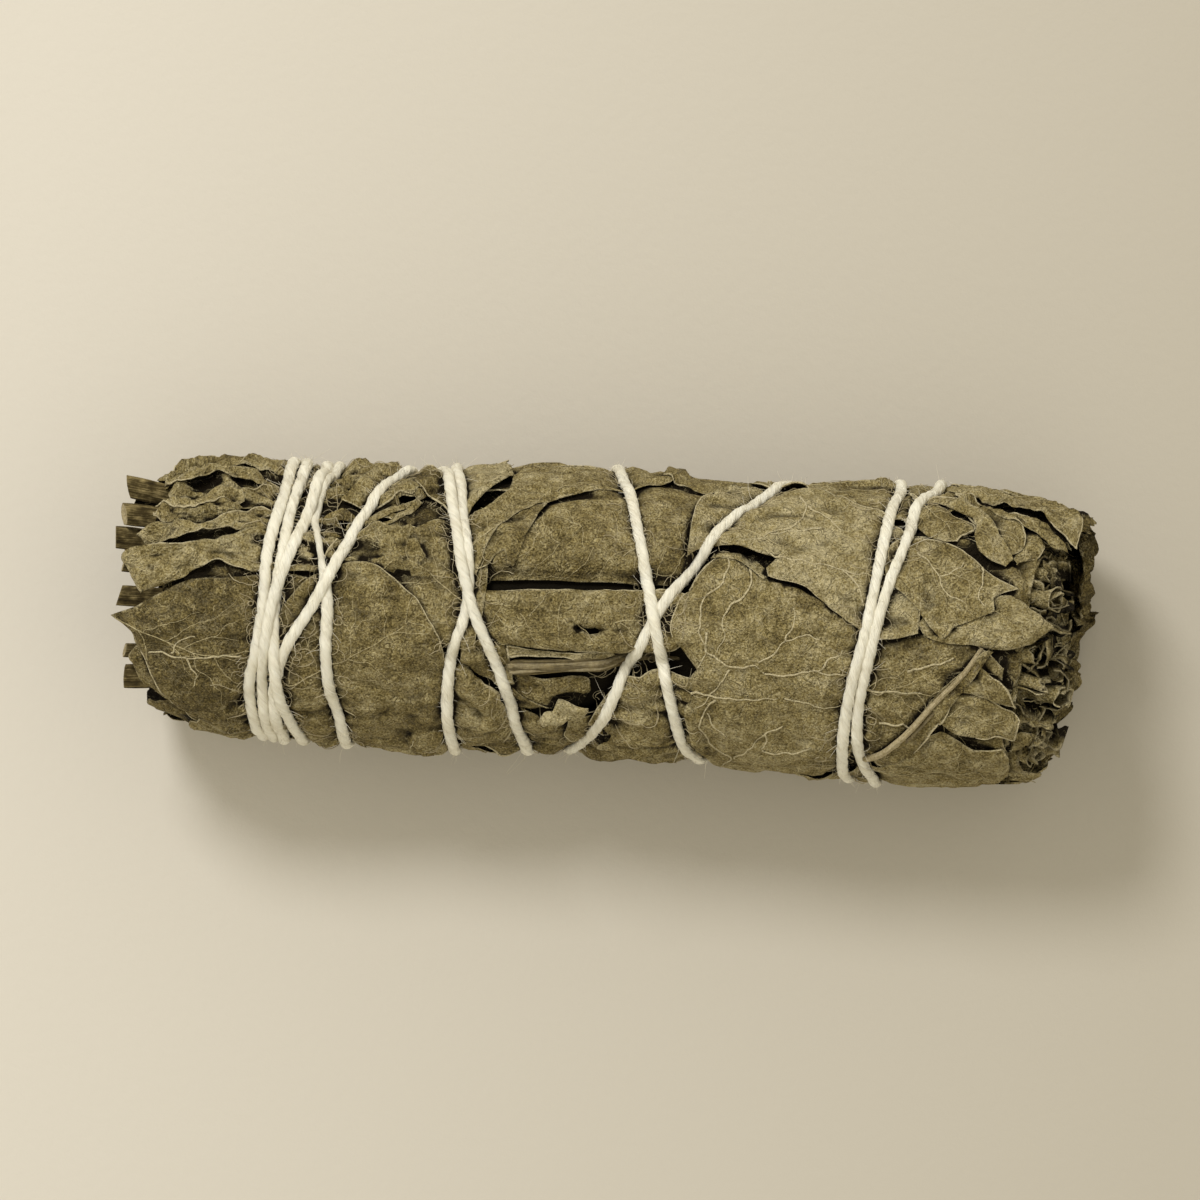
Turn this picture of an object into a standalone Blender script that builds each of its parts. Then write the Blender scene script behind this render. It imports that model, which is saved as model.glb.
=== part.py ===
"""Eucalyptus smudge stick: leafy twigs packed lengthwise, wrapped in dried leaves and wound with one cotton string.

The stick lies along X on its underside, with its stem ends at -X and its cut leaf ends at +X.
Lengths are in millimetres until a mesh is made. An angle runs round the stick in degrees:
0 is the top, 90 the +Y side, 180 the underside and -90 the -Y side.
"""

import math

import bpy
import numpy as np
from mathutils import Vector
from mathutils.geometry import delaunay_2d_cdt

MM = 0.001
GAP = 0.33
AXIS_HEIGHT = 14.7
CORE_RADIUS_LEFT = 11.6
CORE_RADIUS_RIGHT = 12.7
UNDERSIDE_HEIGHT = 3.4
LEFT_END = -46.0
RIGHT_END = 51.0
LEAF_THICKNESS = 0.4
PACK_FOLDS = (0.5, 0.56, 0.41, 0.5, 0.6, 0.55)
SHEET_RADIUS = 14.5
SHEET_SPACING = 3.7
LEAF_MARGIN = 0.8
STRING_DIAMETER = 1.15
STRING_STEPS = 18

# Leaves by layer from the core outwards, and within a layer in the order in which they were wrapped.
# A leaf drawn by hand has its corners as (position along X, angle round the stick).
DRAWN_LEAVES = {
    1: {
        "crumpled_leaf_1": [(-46, 65), (-45, 84), (-36, 88), (-22, 84), (-24, 64), (-37, 62), (-44, 62)],
        "crumpled_leaf_2": [(-47, 50), (-44, 59), (-36, 62), (-23, 60), (-22, 50), (-36, 47), (-43, 47)],
        "crumpled_leaf_3": [(-49, 41), (-45, 45), (-36, 45), (-22, 47), (-20, 36), (-36, 35), (-44, 36)],
        "crumpled_leaf_4": [(-49.5, 31), (-44, 34), (-36, 33), (-20, 33), (-18, 14), (-36, 15), (-45, 22)],
        "dark_smooth_leaf": [(-16, 14), (-16, 44), (-8, 60), (8, 62), (13, 42), (11, 18), (4, 15), (-4, 13.5)],
        "upper_leaf_middle": [(-18, 62), (-6, 64), (10, 65), (21, 66), (21, 82), (8, 92), (-10, 92), (-19, 86)],
        "lower_leaf_middle": [(-16, -10), (-6, 10), (8, 11), (12, -24), (12, -80), (0, -94), (-14, -88), (-17, -50)],
        "rim_leaf_upper": [(32, 46), (43, 42), (50, 42), (51, 64), (46, 76), (40, 88), (30, 84), (26, 66)],
        "rim_leaf_lower": [(16, -8), (36, 0), (46, -4), (45, -34), (46, -74), (30, -86), (16, -70)],
        "inner_leaf_right": [(16, 12), (36, 4), (47.5, 4), (48, 36), (34, 42), (18, 58), (15, 34)],
    },
    2: {
        "veined_leaf": [(-28, 12), (-25, 34), (-18, 41), (-13, 36), (-13, 8), (-16, -16), (-24, -6)],
        "pointed_leaf": [(-27, 46), (-26, 74), (-19, 84), (-16, 66), (-20, 52), (-23, 42)],
        "folded_leaf_top": [(-16, 46), (-11, 60), (-9.5, 86), (-14, 92), (-17, 74)],
        "side_leaf_left": [(-46, 72), (-34, 78), (-28, 92), (-34, 110), (-44, 104)],
        "leaf_below_slit": [(-13, 9), (0, 11), (7, 13), (9, 0), (9, -13), (0, -15), (-9, -14), (-14, -8)],
        "largest_leaf": [(8, 10), (13, 27), (19, 17), (27, 3), (31, -22), (30, -48), (24, -62),
                         (17, -80), (12, -80), (9, -52), (11, -28), (11, -9)],
        "top_leaf_right": [(16, 70), (24, 62), (28, 50), (35, 60), (41, 62), (41, 84), (32, 96), (20, 92)],
        "rim_leaf_middle": [(33, 34), (43, 42), (48, 24), (48, 2), (38, -3), (32, 12)],
        "bottom_leaf_left": [(-38, -66), (-26, -60), (-14, -62), (-12, -84), (-22, -98), (-36, -98), (-43, -82)],
        "bottom_leaf_right": [(29, -60), (36, -50), (40, -60), (44, -84), (36, -98), (26, -98), (21, -84)],
    },
    3: {
        "leaf_with_tail": [(-14, 40), (-10, 62), (-6, 84), (2, 80), (2, 63), (-5, 50), (-8, 26), (-12, 20)],
        "upper_leaf_right": [(9, 31), (13, 34), (16, 19), (24, 9), (30, 3), (36, 24), (32, 56), (22, 62), (13, 58)],
        "rounded_leaf": [(33, 58), (34, 44), (37, 38), (40, 46), (39, 57), (36, 64)],
        "smooth_leaf": [(-26, 17), (-20, 4), (-16, -14), (-15, -44), (-17, -74), (-26, -80), (-30.5, -60),
                        (-29.5, -14), (-30, 6)],
        "left_end_leaf": [(-51.5, -13), (-44, 4), (-36, 9), (-32, 7), (-31, -25), (-32, -62), (-38, -70),
                          (-44, -58), (-48, -34), (-49, -24)],
        "triangular_leaf": [(-50.5, 24), (-43, 23.5), (-36, 28), (-28, 26), (-29, 12), (-36, 11), (-44, 8),
                            (-49.5, 3)],
    },
}

# Pointed oval leaves on the far side and underneath: (name, layer, X, angle, turn in the sheet, length, width).
OVAL_LEAVES = [
    ("far_leaf_left", 1, -31, 130, 5, 39, 20),
    ("far_leaf_middle", 2, 0, 127, -6, 40, 21),
    ("far_leaf_right", 1, 30, 122, 6, 40, 21),
    ("underside_leaf_left", 2, -30, -164, -4, 38, 21),
    ("underside_leaf_middle", 1, 0, -166, 5, 40, 22),
    ("underside_leaf_right", 2, 29, -168, -5, 41, 22),
    ("near_leaf_left", 1, -28, -116, 3, 36, 19),
    ("near_leaf_middle", 2, 2, -122, -4, 36, 17),
    ("near_leaf_right", 1, 31, -120, 3, 34, 18),
]

# Folded leaves that the stick lies on: (name, first X, last X).
RESTING_LEAVES = [
    ("resting_leaf_left", -45.5, -37.2),
    ("resting_leaf_middle", 1.5, 16.0),
    ("resting_leaf_right", 35.5, 45.5),
]
RESTING_HALF_ANGLE = 17

# Leaves rolled into tubes at the right end: (first X, angle, length, radius).
LEAF_TUBES = [
    (39.5, -18, 8.0, 1.15),
    (39.0, -42, 7.0, 1.35),
]

# Thin stems lying among the outer leaves: (name, first and last places, radius, the layer underneath).
SURFACE_TWIGS = [
    ("stem_in_slit", (-9.5, -25), (9.8, -17.5), 0.7, 1),
    ("midrib", (30.4, -62), (40.4, -7), 0.5, 2),
]

# Stems showing at the left end: (end X, Y, height over the axis, diameter, outward lean in mm per mm, length).
STEMS = [
    (-51.4, 10.6, 2.8, 2.2, 0.12, 24),
    (-52.0, 8.1, 6.9, 2.4, 0.05, 26),
    (-52.3, 5.4, 3.9, 2.1, 0.03, 30),
    (-51.6, 2.8, 8.7, 1.3, 0.04, 20),
    (-51.8, -2.4, 8.3, 1.9, 0.04, 26),
    (-51.0, -6.6, 6.4, 1.5, 0.05, 22),
    (-50.6, -9.4, 3.4, 2.6, 0.06, 26),
    (-51.5, 5.4, -5.6, 2.4, 0.04, 28),
    (-52.0, -0.4, 0.3, 2.2, 0.00, 40),
]

# The string's route: each turn's X at the angles of FRONT_ANGLES, then of BACK_ANGLES on its way to the next turn.
FRONT_ANGLES = (90, 45, 0, -45, -90)
BACK_ANGLES = (-90, -135, -180, -225, -270)
FRONT_RUNS = [
    (-33.3, -34.6, -35.7, -37.0, -36.4),
    (-32.0, -33.6, -34.4, -33.6, -31.2),
    (-28.6, -30.8, -28.9, -28.0, -26.2),
    (-17.6, -15.9, -13.3, -9.0, -6.8),
    (1.4, 3.4, 5.9, 8.8, 11.8),
    (31.6, 30.2, 28.2, 26.7, 27.3),
    (36.0, 32.7, 29.5, 28.3, 30.7),
    (20.2, 13.4, 5.9, 1.5, -1.5),
    (-16.0, -15.0, -14.3, -15.6, -14.0),
    (-20.5, -25.2, -30.3, -34.2, -32.9),
    (-29.9, -31.2, -34.7, -35.5, -34.6),
]
BACK_RUNS = [
    (-36.4, -36.6, -36.0, -34.4, -32.0),
    (-31.2, -30.4, -29.6, -28.9, -28.6),
    (-26.2, -24.2, -21.8, -19.4, -17.6),
    (-6.8, -5.2, -3.0, -0.6, 1.4),
    (11.8, 15.6, 19.6, 24.2, 31.6),
    (27.3, 31.0, 33.6, 35.2, 36.0),
    (30.7, 29.6, 27.4, 24.8, 20.2),
    (-1.5, -4.8, -9.0, -12.6, -16.0),
    (-14.0, -15.4, -17.2, -18.8, -20.5),
    (-32.9, -32.5, -31.9, -31.0, -29.9),
]
KNOT_POSITION = -32.0
KNOT_ANGLE = 124
KNOT_HEIGHT = 4.2
LAST_RUN = (-34.6, -34.4, -33.8, -32.2)
# The strand laid over another at a crossing has the higher rank.
FRONT_RANKS = (0, 2, 0, 1, 1, 0, 1, 0, 0, 1, 3)
BACK_RANKS = (0, 0, 0, 0, 0, 1, 2, 1, 1, 1)
LAST_RANK = 2

LEAF_COLOURS = [(0.17, 0.145, 0.065), (0.2, 0.17, 0.08), (0.145, 0.12, 0.052), (0.225, 0.19, 0.098)]
STEM_COLOUR = (0.24, 0.18, 0.09)
STRING_COLOUR = (0.8, 0.76, 0.64)


def clear_scene():
    for obj in list(bpy.data.objects):
        bpy.data.objects.remove(obj, do_unlink=True)


def material(name, colour, roughness):
    made = bpy.data.materials.get(name)
    if made is None:
        made = bpy.data.materials.new(name)
        made.use_nodes = True
        shader = made.node_tree.nodes["Principled BSDF"]
        shader.inputs["Base Color"].default_value = (*colour, 1)
        shader.inputs["Roughness"].default_value = roughness
        shader.inputs["Metallic"].default_value = 0
    return made


def leaf_material(number):
    shade = number % len(LEAF_COLOURS)
    return material(f"dried_leaf_{shade + 1}", LEAF_COLOURS[shade], 0.85)


def mesh_object(name, points, faces, made_of):
    """An object from points in millimetres."""
    mesh = bpy.data.meshes.new(name)
    mesh.from_pydata([[value * MM for value in point] for point in points], [], faces)
    mesh.materials.append(made_of)
    mesh.update()
    obj = bpy.data.objects.new(name, mesh)
    bpy.context.scene.collection.objects.link(obj)
    return obj


def core_radius(x, angle):
    """The packed twigs' radius: wider to the right, rounded off at both ends, and flattened underneath."""
    share = (x + 40) / 80
    radius = CORE_RADIUS_LEFT + (CORE_RADIUS_RIGHT - CORE_RADIUS_LEFT) * min(max(share, 0), 1)
    radius -= 0.9 * max(0, (-42 - x) / 8) ** 2
    radius -= 0.6 * max(0, (x - 42) / 8) ** 2
    down = -math.cos(math.radians(angle))
    if down > 0.3:
        flattened = (AXIS_HEIGHT - UNDERSIDE_HEIGHT) / down
        radius = (radius ** -16 + flattened ** -16) ** (-1 / 16)
    return radius


def place(x, angle, radius):
    turned = math.radians(angle)
    return (x, radius * math.sin(turned), AXIS_HEIGHT + radius * math.cos(turned))


def inside(outline, x, y):
    found = False
    for (ax, ay), (bx, by) in zip(outline, outline[1:] + outline[:1]):
        if (ay > y) != (by > y) and x < ax + (y - ay) / (by - ay) * (bx - ax):
            found = not found
    return found


def edge_distance(outline, x, y):
    nearest = 1e9
    for (ax, ay), (bx, by) in zip(outline, outline[1:] + outline[:1]):
        length = (bx - ax) ** 2 + (by - ay) ** 2
        share = min(max(((x - ax) * (bx - ax) + (y - ay) * (by - ay)) / length, 0), 1)
        nearest = min(nearest, math.hypot(x - ax - share * (bx - ax), y - ay - share * (by - ay)))
    return nearest


def flat(corners):
    """Corners (x, angle) laid out flat in millimetres."""
    arc = SHEET_RADIUS * math.pi / 180
    return [(x, angle * arc) for x, angle in corners]


def nearest_on(outline, x, y):
    best = (1e9, 0, 0)
    for (ax, ay), (bx, by) in zip(outline, outline[1:] + outline[:1]):
        length = (bx - ax) ** 2 + (by - ay) ** 2
        share = min(max(((x - ax) * (bx - ax) + (y - ay) * (by - ay)) / length, 0), 1)
        u, v = ax + share * (bx - ax), ay + share * (by - ay)
        best = min(best, (math.hypot(x - u, y - v), u, v))
    return best


def kept_clear(point, neighbours):
    """The point moved just outside any neighbouring leaf of the same layer that it lies under."""
    x, y = point
    for _ in range(2):
        for outline in neighbours:
            distance, u, v = nearest_on(outline, x, y)
            within = inside(outline, x, y)
            if (within or distance < LEAF_MARGIN) and distance > 1e-6:
                way = -LEAF_MARGIN if within else LEAF_MARGIN
                x, y = u + (x - u) / distance * way, v + (y - v) / distance * way
    return x, y


def sheet(corners, neighbours=()):
    """Points (x, angle) and triangles for a leaf outline, trimmed where neighbours in its layer cover it."""
    arc = SHEET_RADIUS * math.pi / 180
    outline = flat(corners)
    rim = []
    for (ax, ay), (bx, by) in zip(outline, outline[1:] + outline[:1]):
        parts = max(1, math.ceil(math.hypot(bx - ax, by - ay) / (SHEET_SPACING * 1.15)))
        for i in range(parts):
            point = kept_clear((ax + (bx - ax) * i / parts, ay + (by - ay) * i / parts), neighbours)
            if not rim or math.hypot(point[0] - rim[-1][0], point[1] - rim[-1][1]) > 0.8:
                rim.append(point)
    lowest = [min(point[axis] for point in rim) for axis in (0, 1)]
    highest = [max(point[axis] for point in rim) for axis in (0, 1)]
    rows = math.ceil((highest[1] - lowest[1]) / (SHEET_SPACING * 0.87))
    columns = math.ceil((highest[0] - lowest[0]) / SHEET_SPACING)
    points = list(rim)
    for row in range(1, rows):
        for column in range(columns + 1):
            x = lowest[0] + (column + 0.5 * (row % 2)) * SHEET_SPACING
            y = lowest[1] + row * SHEET_SPACING * 0.87
            if inside(rim, x, y) and edge_distance(rim, x, y) > SHEET_SPACING * 0.5:
                points.append((x, y))
    found = delaunay_2d_cdt([Vector(point) for point in points], [], [list(range(len(rim)))], 1, 1e-4)
    return [(point[0], point[1] / arc) for point in found[0]], [list(face) for face in found[2]]


def closed_shell(upper, lower, triangles):
    """One closed body between two sheets of matching points."""
    count = len(upper)
    faces = [list(face) for face in triangles]
    faces += [[index + count for index in reversed(face)] for face in triangles]
    sides = {}
    for face in triangles:
        for a, b in zip(face, face[1:] + face[:1]):
            sides[(a, b)] = True
    faces += [[b, a, a + count, b + count] for a, b in sides if (b, a) not in sides]
    return upper + lower, faces


def upwards(points, triangles):
    """The triangles wound so that their outer side faces away from the stick's axis."""
    wound = []
    for a, b, c in triangles:
        (ax, ay), (bx, by), (cx, cy) = points[a], points[b], points[c]
        area = (bx - ax) * (cy - ay) - (cx - ax) * (by - ay)
        wound.append([a, b, c] if area > 0 else [a, c, b])
    return wound


def layer_top(layer):
    return layer * (LEAF_THICKNESS + GAP)


def add_leaf(name, layer, corners, neighbours, number):
    """A leaf wrapped round the stick in its layer."""
    points, triangles = sheet(corners, neighbours)
    triangles = upwards(points, triangles)
    top = layer_top(layer)
    upper = [place(x, angle, core_radius(x, angle) + top) for x, angle in points]
    lower = [place(x, angle, core_radius(x, angle) + top - LEAF_THICKNESS) for x, angle in points]
    all_points, faces = closed_shell(upper, lower, triangles)
    return mesh_object(name, all_points, faces, leaf_material(number))


def all_leaves():
    """Every wrapped leaf as (name, layer, corners), from the inside outwards."""
    found = []
    for layer, drawn in DRAWN_LEAVES.items():
        for name, own_layer, x, angle, turn, length, width in OVAL_LEAVES:
            if own_layer == layer:
                found.append((name, layer, oval_outline(x, angle, turn, length, width)))
        found += [(name, layer, corners) for name, corners in drawn.items()]
    return found


def add_leaves():
    leaves = all_leaves()
    for number, (name, layer, corners) in enumerate(leaves):
        neighbours = []
        for other_name, other_layer, other in leaves[number + 1:]:
            if other_layer == layer:
                neighbours += [flat([(x, angle + turn) for x, angle in other]) for turn in (-360, 0, 360)]
        add_leaf(name, layer, corners, neighbours, number)


def built_up(x, angle):
    """How high the leaves stand over the core at a place, from the leaves that reach within 2 mm of it."""
    height = 0.0
    arc = SHEET_RADIUS * math.pi / 180
    for _, layer, corners in all_leaves():
        outline = flat(corners)
        for turn in (-360, 0, 360):
            y = (angle + turn) * arc
            if layer_top(layer) > height and (inside(outline, x, y) or edge_distance(outline, x, y) < 2):
                height = layer_top(layer)
    for _, first, last, radius, layer in SURFACE_TWIGS:
        if edge_distance(flat([first, last]), x, angle * arc) < 2.5:
            height = max(height, layer_top(layer) + GAP + 2 * radius)
    return height


def oval_outline(x, angle, turn, length, width):
    """A pointed oval leaf's corners, laid on the unrolled surface."""
    arc = SHEET_RADIUS * math.pi / 180
    turned = math.radians(turn)
    shares = (0.0, 0.12, 0.36, 0.62, 0.85)
    halves = (0.1, 0.33, 0.5, 0.44, 0.22)
    right = [(share * length, half * width) for share, half in zip(shares, halves)]
    left = [(along, -across) for along, across in reversed(right)]
    corners = []
    for along, across in right + [(length, 0)] + left:
        along -= length / 2
        u = along * math.cos(turned) - across * math.sin(turned)
        v = along * math.sin(turned) + across * math.cos(turned)
        corners.append((x + u, angle + v / arc))
    return corners


def add_resting_leaf(name, first, last, number):
    """A folded leaf under the stick, flat where it lies on the surface and turned up round its rim."""
    side = 180 + RESTING_HALF_ANGLE
    other = 180 - RESTING_HALF_ANGLE
    middle = (first + last) / 2
    corners = [(first, 180), (first + 1.5, other + 4), (middle, other), (last - 1.5, other + 4),
               (last, 180), (last - 1.5, side - 4), (middle, side), (first + 1.5, side - 4)]
    points, triangles = sheet(corners)
    triangles = upwards(points, triangles)
    arc = SHEET_RADIUS * math.pi / 180
    outline = flat(corners)
    upper = []
    lower = []
    for x, angle in points:
        down = -math.cos(math.radians(angle))
        rim = edge_distance(outline, x, angle * arc) < 0.1
        bottom = 0.6 if rim else 0.0
        upper.append(place(x, angle, (AXIS_HEIGHT - bottom) / down))
        inner = core_radius(x, angle) + layer_top(2) + GAP
        lower.append(place(x, angle, min(inner, (AXIS_HEIGHT - bottom - 0.3) / down)))
    all_points, faces = closed_shell(upper, lower, triangles)
    return mesh_object(name, all_points, faces, leaf_material(number))


def right_end(height):
    """How far the packed leaves reach to the right: the cut slants back towards the top."""
    return RIGHT_END - 0.33 * max(0, height) - 0.12 * max(0, -height)


def loft(name, sections, dish, made_of):
    """A closed body through rings of equal count, its two ends dished in by the given depth."""
    count = len(sections[0])
    points = [point for ring in sections for point in ring]
    faces = []
    for ring in range(len(sections) - 1):
        for i in range(count):
            a = ring * count + i
            b = ring * count + (i + 1) % count
            faces.append([a, a + count, b + count, b])
    for ring, way in ((0, 1), (len(sections) - 1, -1)):
        middle = [sum(point[axis] for point in sections[ring]) / count for axis in range(3)]
        middle[0] += way * dish
        points.append(middle)
        for i in range(count):
            a = ring * count + i
            b = ring * count + (i + 1) % count
            faces.append([a, b, len(points) - 1] if way > 0 else [b, a, len(points) - 1])
    return mesh_object(name, points, faces, made_of)


def add_leaf_pack(number, random):
    """One of six folded packs of leaves round the middle: a wedge with a fold running along its outside."""
    first = number * 60 - 30 + 1.6
    last = number * 60 + 30 - 1.6
    fold = PACK_FOLDS[number]
    shares = (0, 0.22, fold - 0.06, fold, fold + 0.06, 0.8, 1)
    end_jitter = [random.uniform(-1.0, 1.0) for _ in range(20)]
    sections = []
    for x in (LEFT_END, -42, -34, -12, 14, 40, 44, RIGHT_END):
        ring = []
        for i, share in enumerate(shares):
            angle = first + (last - first) * share
            depth = 1.5 if i == 3 else (0.9 if i in (0, 6) else 0.0)
            radius = core_radius(x, angle) - GAP - 0.1 - depth
            ring.append([x, angle, radius])
        for angle in (last - 7, number * 60, first + 7):
            ring.append([x, angle, 5.3])
        placed = []
        for i, (along, angle, radius) in enumerate(ring):
            height = radius * math.cos(math.radians(angle))
            if along == RIGHT_END:
                along = right_end(height) + end_jitter[i]
            if along == LEFT_END:
                along += end_jitter[i + 10]
            placed.append(list(place(along, angle, radius)))
        sections.append(placed)
    pack = loft(f"leaf_pack_{number + 1}", sections, 2.5, leaf_material(number))
    return pack


def add_middle_roll(random):
    """The rolled leaves in the middle of the stick."""
    sections = []
    jitter = [random.uniform(-1.2, 1.2) for _ in range(20)]
    for x in (LEFT_END + 1, -10, 20, RIGHT_END - 1):
        ring = []
        for i in range(10):
            angle = i * 36
            radius = 4.45 - 0.35 * (i % 2)
            along = x
            if x == RIGHT_END - 1:
                along += jitter[i]
            if x == LEFT_END + 1:
                along += jitter[i + 10]
            ring.append(list(place(along, angle, radius)))
        sections.append(ring)
    return loft("middle_leaf_roll", sections, 2.5, leaf_material(2))


def cylinder_between(name, start, end, radius, sides, made_of):
    """A straight round bar between two points."""
    axis = (Vector(end) - Vector(start)).normalized()
    across = axis.cross(Vector((0, 0, 1))).normalized()
    other = axis.cross(across)
    rings = []
    for centre in (start, end):
        ring = []
        for i in range(sides):
            turn = 2 * math.pi * i / sides
            point = Vector(centre) + radius * (across * math.cos(turn) + other * math.sin(turn))
            ring.append(list(point))
        rings.append(ring)
    points = rings[0] + rings[1]
    faces = [list(range(sides - 1, -1, -1)), list(range(sides, 2 * sides))]
    faces += [[i, (i + 1) % sides, (i + 1) % sides + sides, i + sides] for i in range(sides)]
    return mesh_object(name, points, faces, made_of)


def cut(target, cutter):
    """Take the cutter out of the target and leave it as a guide that isn't built."""
    cutter.hide_render = True
    cutter.display_type = "WIRE"
    boolean = target.modifiers.new("socket", "BOOLEAN")
    boolean.operation = "DIFFERENCE"
    boolean.object = cutter


def add_stem(number, spec, packs):
    """A twig's woody stem in a blind socket in the packs, its cut end standing out to the left."""
    end_x, y, height, diameter, lean, length = spec
    distance = math.hypot(y, height)
    inner_share = (distance - lean * length) / distance
    start = (end_x, y, AXIS_HEIGHT + height)
    end = (end_x + length, y * inner_share, AXIS_HEIGHT + height * inner_share)
    wood = material("twig", STEM_COLOUR, 0.8)
    stem = cylinder_between(f"stem_{number}", start, end, diameter / 2, 8, wood)
    beyond = Vector(end) + (Vector(end) - Vector(start)).normalized() * GAP
    before = Vector(start) - (Vector(end) - Vector(start)).normalized()
    socket = cylinder_between(f"socket_{number}", before, beyond, diameter / 2 + GAP, 8, wood)
    for pack in packs:
        cut(pack, socket)
    return stem


def tube_over(name, route, radius, resolution, made_of):
    """A round strand through (x, angle, radius from the axis) points."""
    curve = bpy.data.curves.new(name, "CURVE")
    curve.dimensions = "3D"
    curve.bevel_depth = radius * MM
    curve.bevel_resolution = resolution
    curve.use_fill_caps = True
    spline = curve.splines.new("POLY")
    spline.points.add(len(route) - 1)
    for point, (x, angle, distance) in zip(spline.points, route):
        placed = place(x, angle, distance)
        point.co = (placed[0] * MM, placed[1] * MM, placed[2] * MM, 1)
    curve.materials.append(made_of)
    obj = bpy.data.objects.new(name, curve)
    bpy.context.scene.collection.objects.link(obj)
    return obj


def add_surface_twig(name, first, last, radius, layer):
    """A thin stem lying over the given layer of leaves between two (x, angle) points."""
    steps = 6
    route = []
    for step in range(steps + 1):
        x = first[0] + (last[0] - first[0]) * step / steps
        angle = first[1] + (last[1] - first[1]) * step / steps
        route.append((x, angle, core_radius(x, angle) + layer_top(layer) + GAP + radius))
    return tube_over(name, route, radius, 1, material("twig", STEM_COLOUR, 0.8))


def add_leaf_tube(number, x, angle, length, radius):
    """A leaf rolled up tightly, with an open cut end to the right."""
    sides = 9
    wall = 0.4
    bore_depth = 3.5
    centre = core_radius(x, angle) + layer_top(1) + GAP + radius
    profile = [(0, radius * 0.7), (1.2, radius), (length, radius), (length, radius - wall),
               (length - bore_depth, radius - wall)]
    _, y, z = place(x, angle, centre)
    points = []
    for along, distance in profile:
        for i in range(sides):
            turn = 2 * math.pi * i / sides
            points.append([x + along, y + distance * math.sin(turn), z + distance * math.cos(turn)])
    faces = [[i for i in range(sides)], [len(points) - 1 - i for i in range(sides)]]
    for ring in range(len(profile) - 1):
        for i in range(sides):
            a = ring * sides + i
            b = ring * sides + (i + 1) % sides
            faces.append([b, a, a + sides, b + sides])
    return mesh_object(f"rolled_leaf_{number}", points, faces, leaf_material(3))


def smooth_run(angles, values, steps):
    """A smooth curve through a run's five points, as (angle, value) pairs without the last."""
    found = []
    for step in range(steps):
        angle = angles[0] + (angles[-1] - angles[0]) * step / steps
        value = 0.0
        for i, own in enumerate(angles):
            weight = 1.0
            for j, other in enumerate(angles):
                if j != i:
                    weight *= (angle - other) / (own - other)
            value += weight * values[i]
        found.append((angle, value))
    return found


def string_route():
    """The whole string as (x, angle, radius): out of the knot, eleven turns, and back to the knot."""
    half = STRING_STEPS // 2
    route = []
    lead_in = [(KNOT_ANGLE - 8, -32.3), (KNOT_ANGLE - 21, -32.7)]
    for angle, x in lead_in:
        route.append((x, angle, 0))
    for turn, front in enumerate(FRONT_RUNS):
        for angle, x in smooth_run(FRONT_ANGLES, front, half):
            route.append((x, angle, FRONT_RANKS[turn]))
        if turn < len(BACK_RUNS):
            for angle, x in smooth_run(BACK_ANGLES, BACK_RUNS[turn], half):
                route.append((x, angle, BACK_RANKS[turn]))
    last_angles = (-90, -135, -180, -228)
    for angle, x in smooth_run(last_angles, LAST_RUN, 7) + [(last_angles[-1], LAST_RUN[-1])]:
        route.append((x, angle, LAST_RANK))
    level = [0.0] * len(route)
    for index in sorted(range(len(route)), key=lambda i: (route[i][2], i)):
        level[index] = resting_radius(route, level, index)
    return [(x, angle, radius) for (x, angle, _), radius in zip(route, level)]


def resting_radius(route, level, index):
    """The radius at which the string lies at one point, over the leaves and over any strand already laid there."""
    x, angle, _ = route[index]
    own_step = abs(route[min(index + 1, len(route) - 1)][0] - route[max(index - 1, 0)][0]) / 2
    spacing = STRING_DIAMETER + 0.35
    radius = core_radius(x, angle) + built_up(x, angle) + GAP + 0.2 + STRING_DIAMETER / 2
    for other in range(len(route) - 1):
        if min(level[other], level[other + 1]) == 0 or abs(other - index) < 4:
            continue
        (first_x, first_angle, _), (next_x, next_angle, _) = route[other:other + 2]
        turned = (first_angle - angle + 180) % 360 - 180
        step = first_angle - next_angle
        if not -1 <= turned <= step + 1:
            continue
        share = min(max(turned / step, 0), 1)
        other_step = abs(next_x - first_x)
        apart = abs(first_x + (next_x - first_x) * share - x) - 0.5 * (own_step + other_step)
        if apart < spacing:
            under = max(level[other], level[other + 1])
            radius = max(radius, under + math.sqrt(spacing ** 2 - max(apart, 0) ** 2))
    return radius


def add_knot():
    """The knot that ties the string's two ends, with its short tails."""
    cotton = material("cotton_string", STRING_COLOUR, 0.95)
    centre = Vector(place(KNOT_POSITION, KNOT_ANGLE, core_radius(KNOT_POSITION, KNOT_ANGLE) + KNOT_HEIGHT))
    sides = 10
    rings = 5
    points = []
    for ring in range(1, rings):
        polar = math.pi * ring / rings
        for i in range(sides):
            turn = 2 * math.pi * i / sides
            lump = 1 + 0.12 * math.cos(3 * turn + ring)
            points.append([centre.x + 1.5 * lump * math.sin(polar) * math.cos(turn),
                           centre.y + 1.25 * lump * math.sin(polar) * math.sin(turn),
                           centre.z + 1.25 * math.cos(polar)])
    points.append([centre.x, centre.y, centre.z + 1.25])
    points.append([centre.x, centre.y, centre.z - 1.25])
    faces = []
    for i in range(sides):
        following = (i + 1) % sides
        faces.append([len(points) - 2, i, following])
        last = (rings - 2) * sides
        faces.append([len(points) - 1, last + following, last + i])
        for ring in range(rings - 2):
            a = ring * sides
            faces.append([a + i, a + sides + i, a + sides + following, a + following])
    return mesh_object("string_knot", points, faces, cotton)


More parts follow.
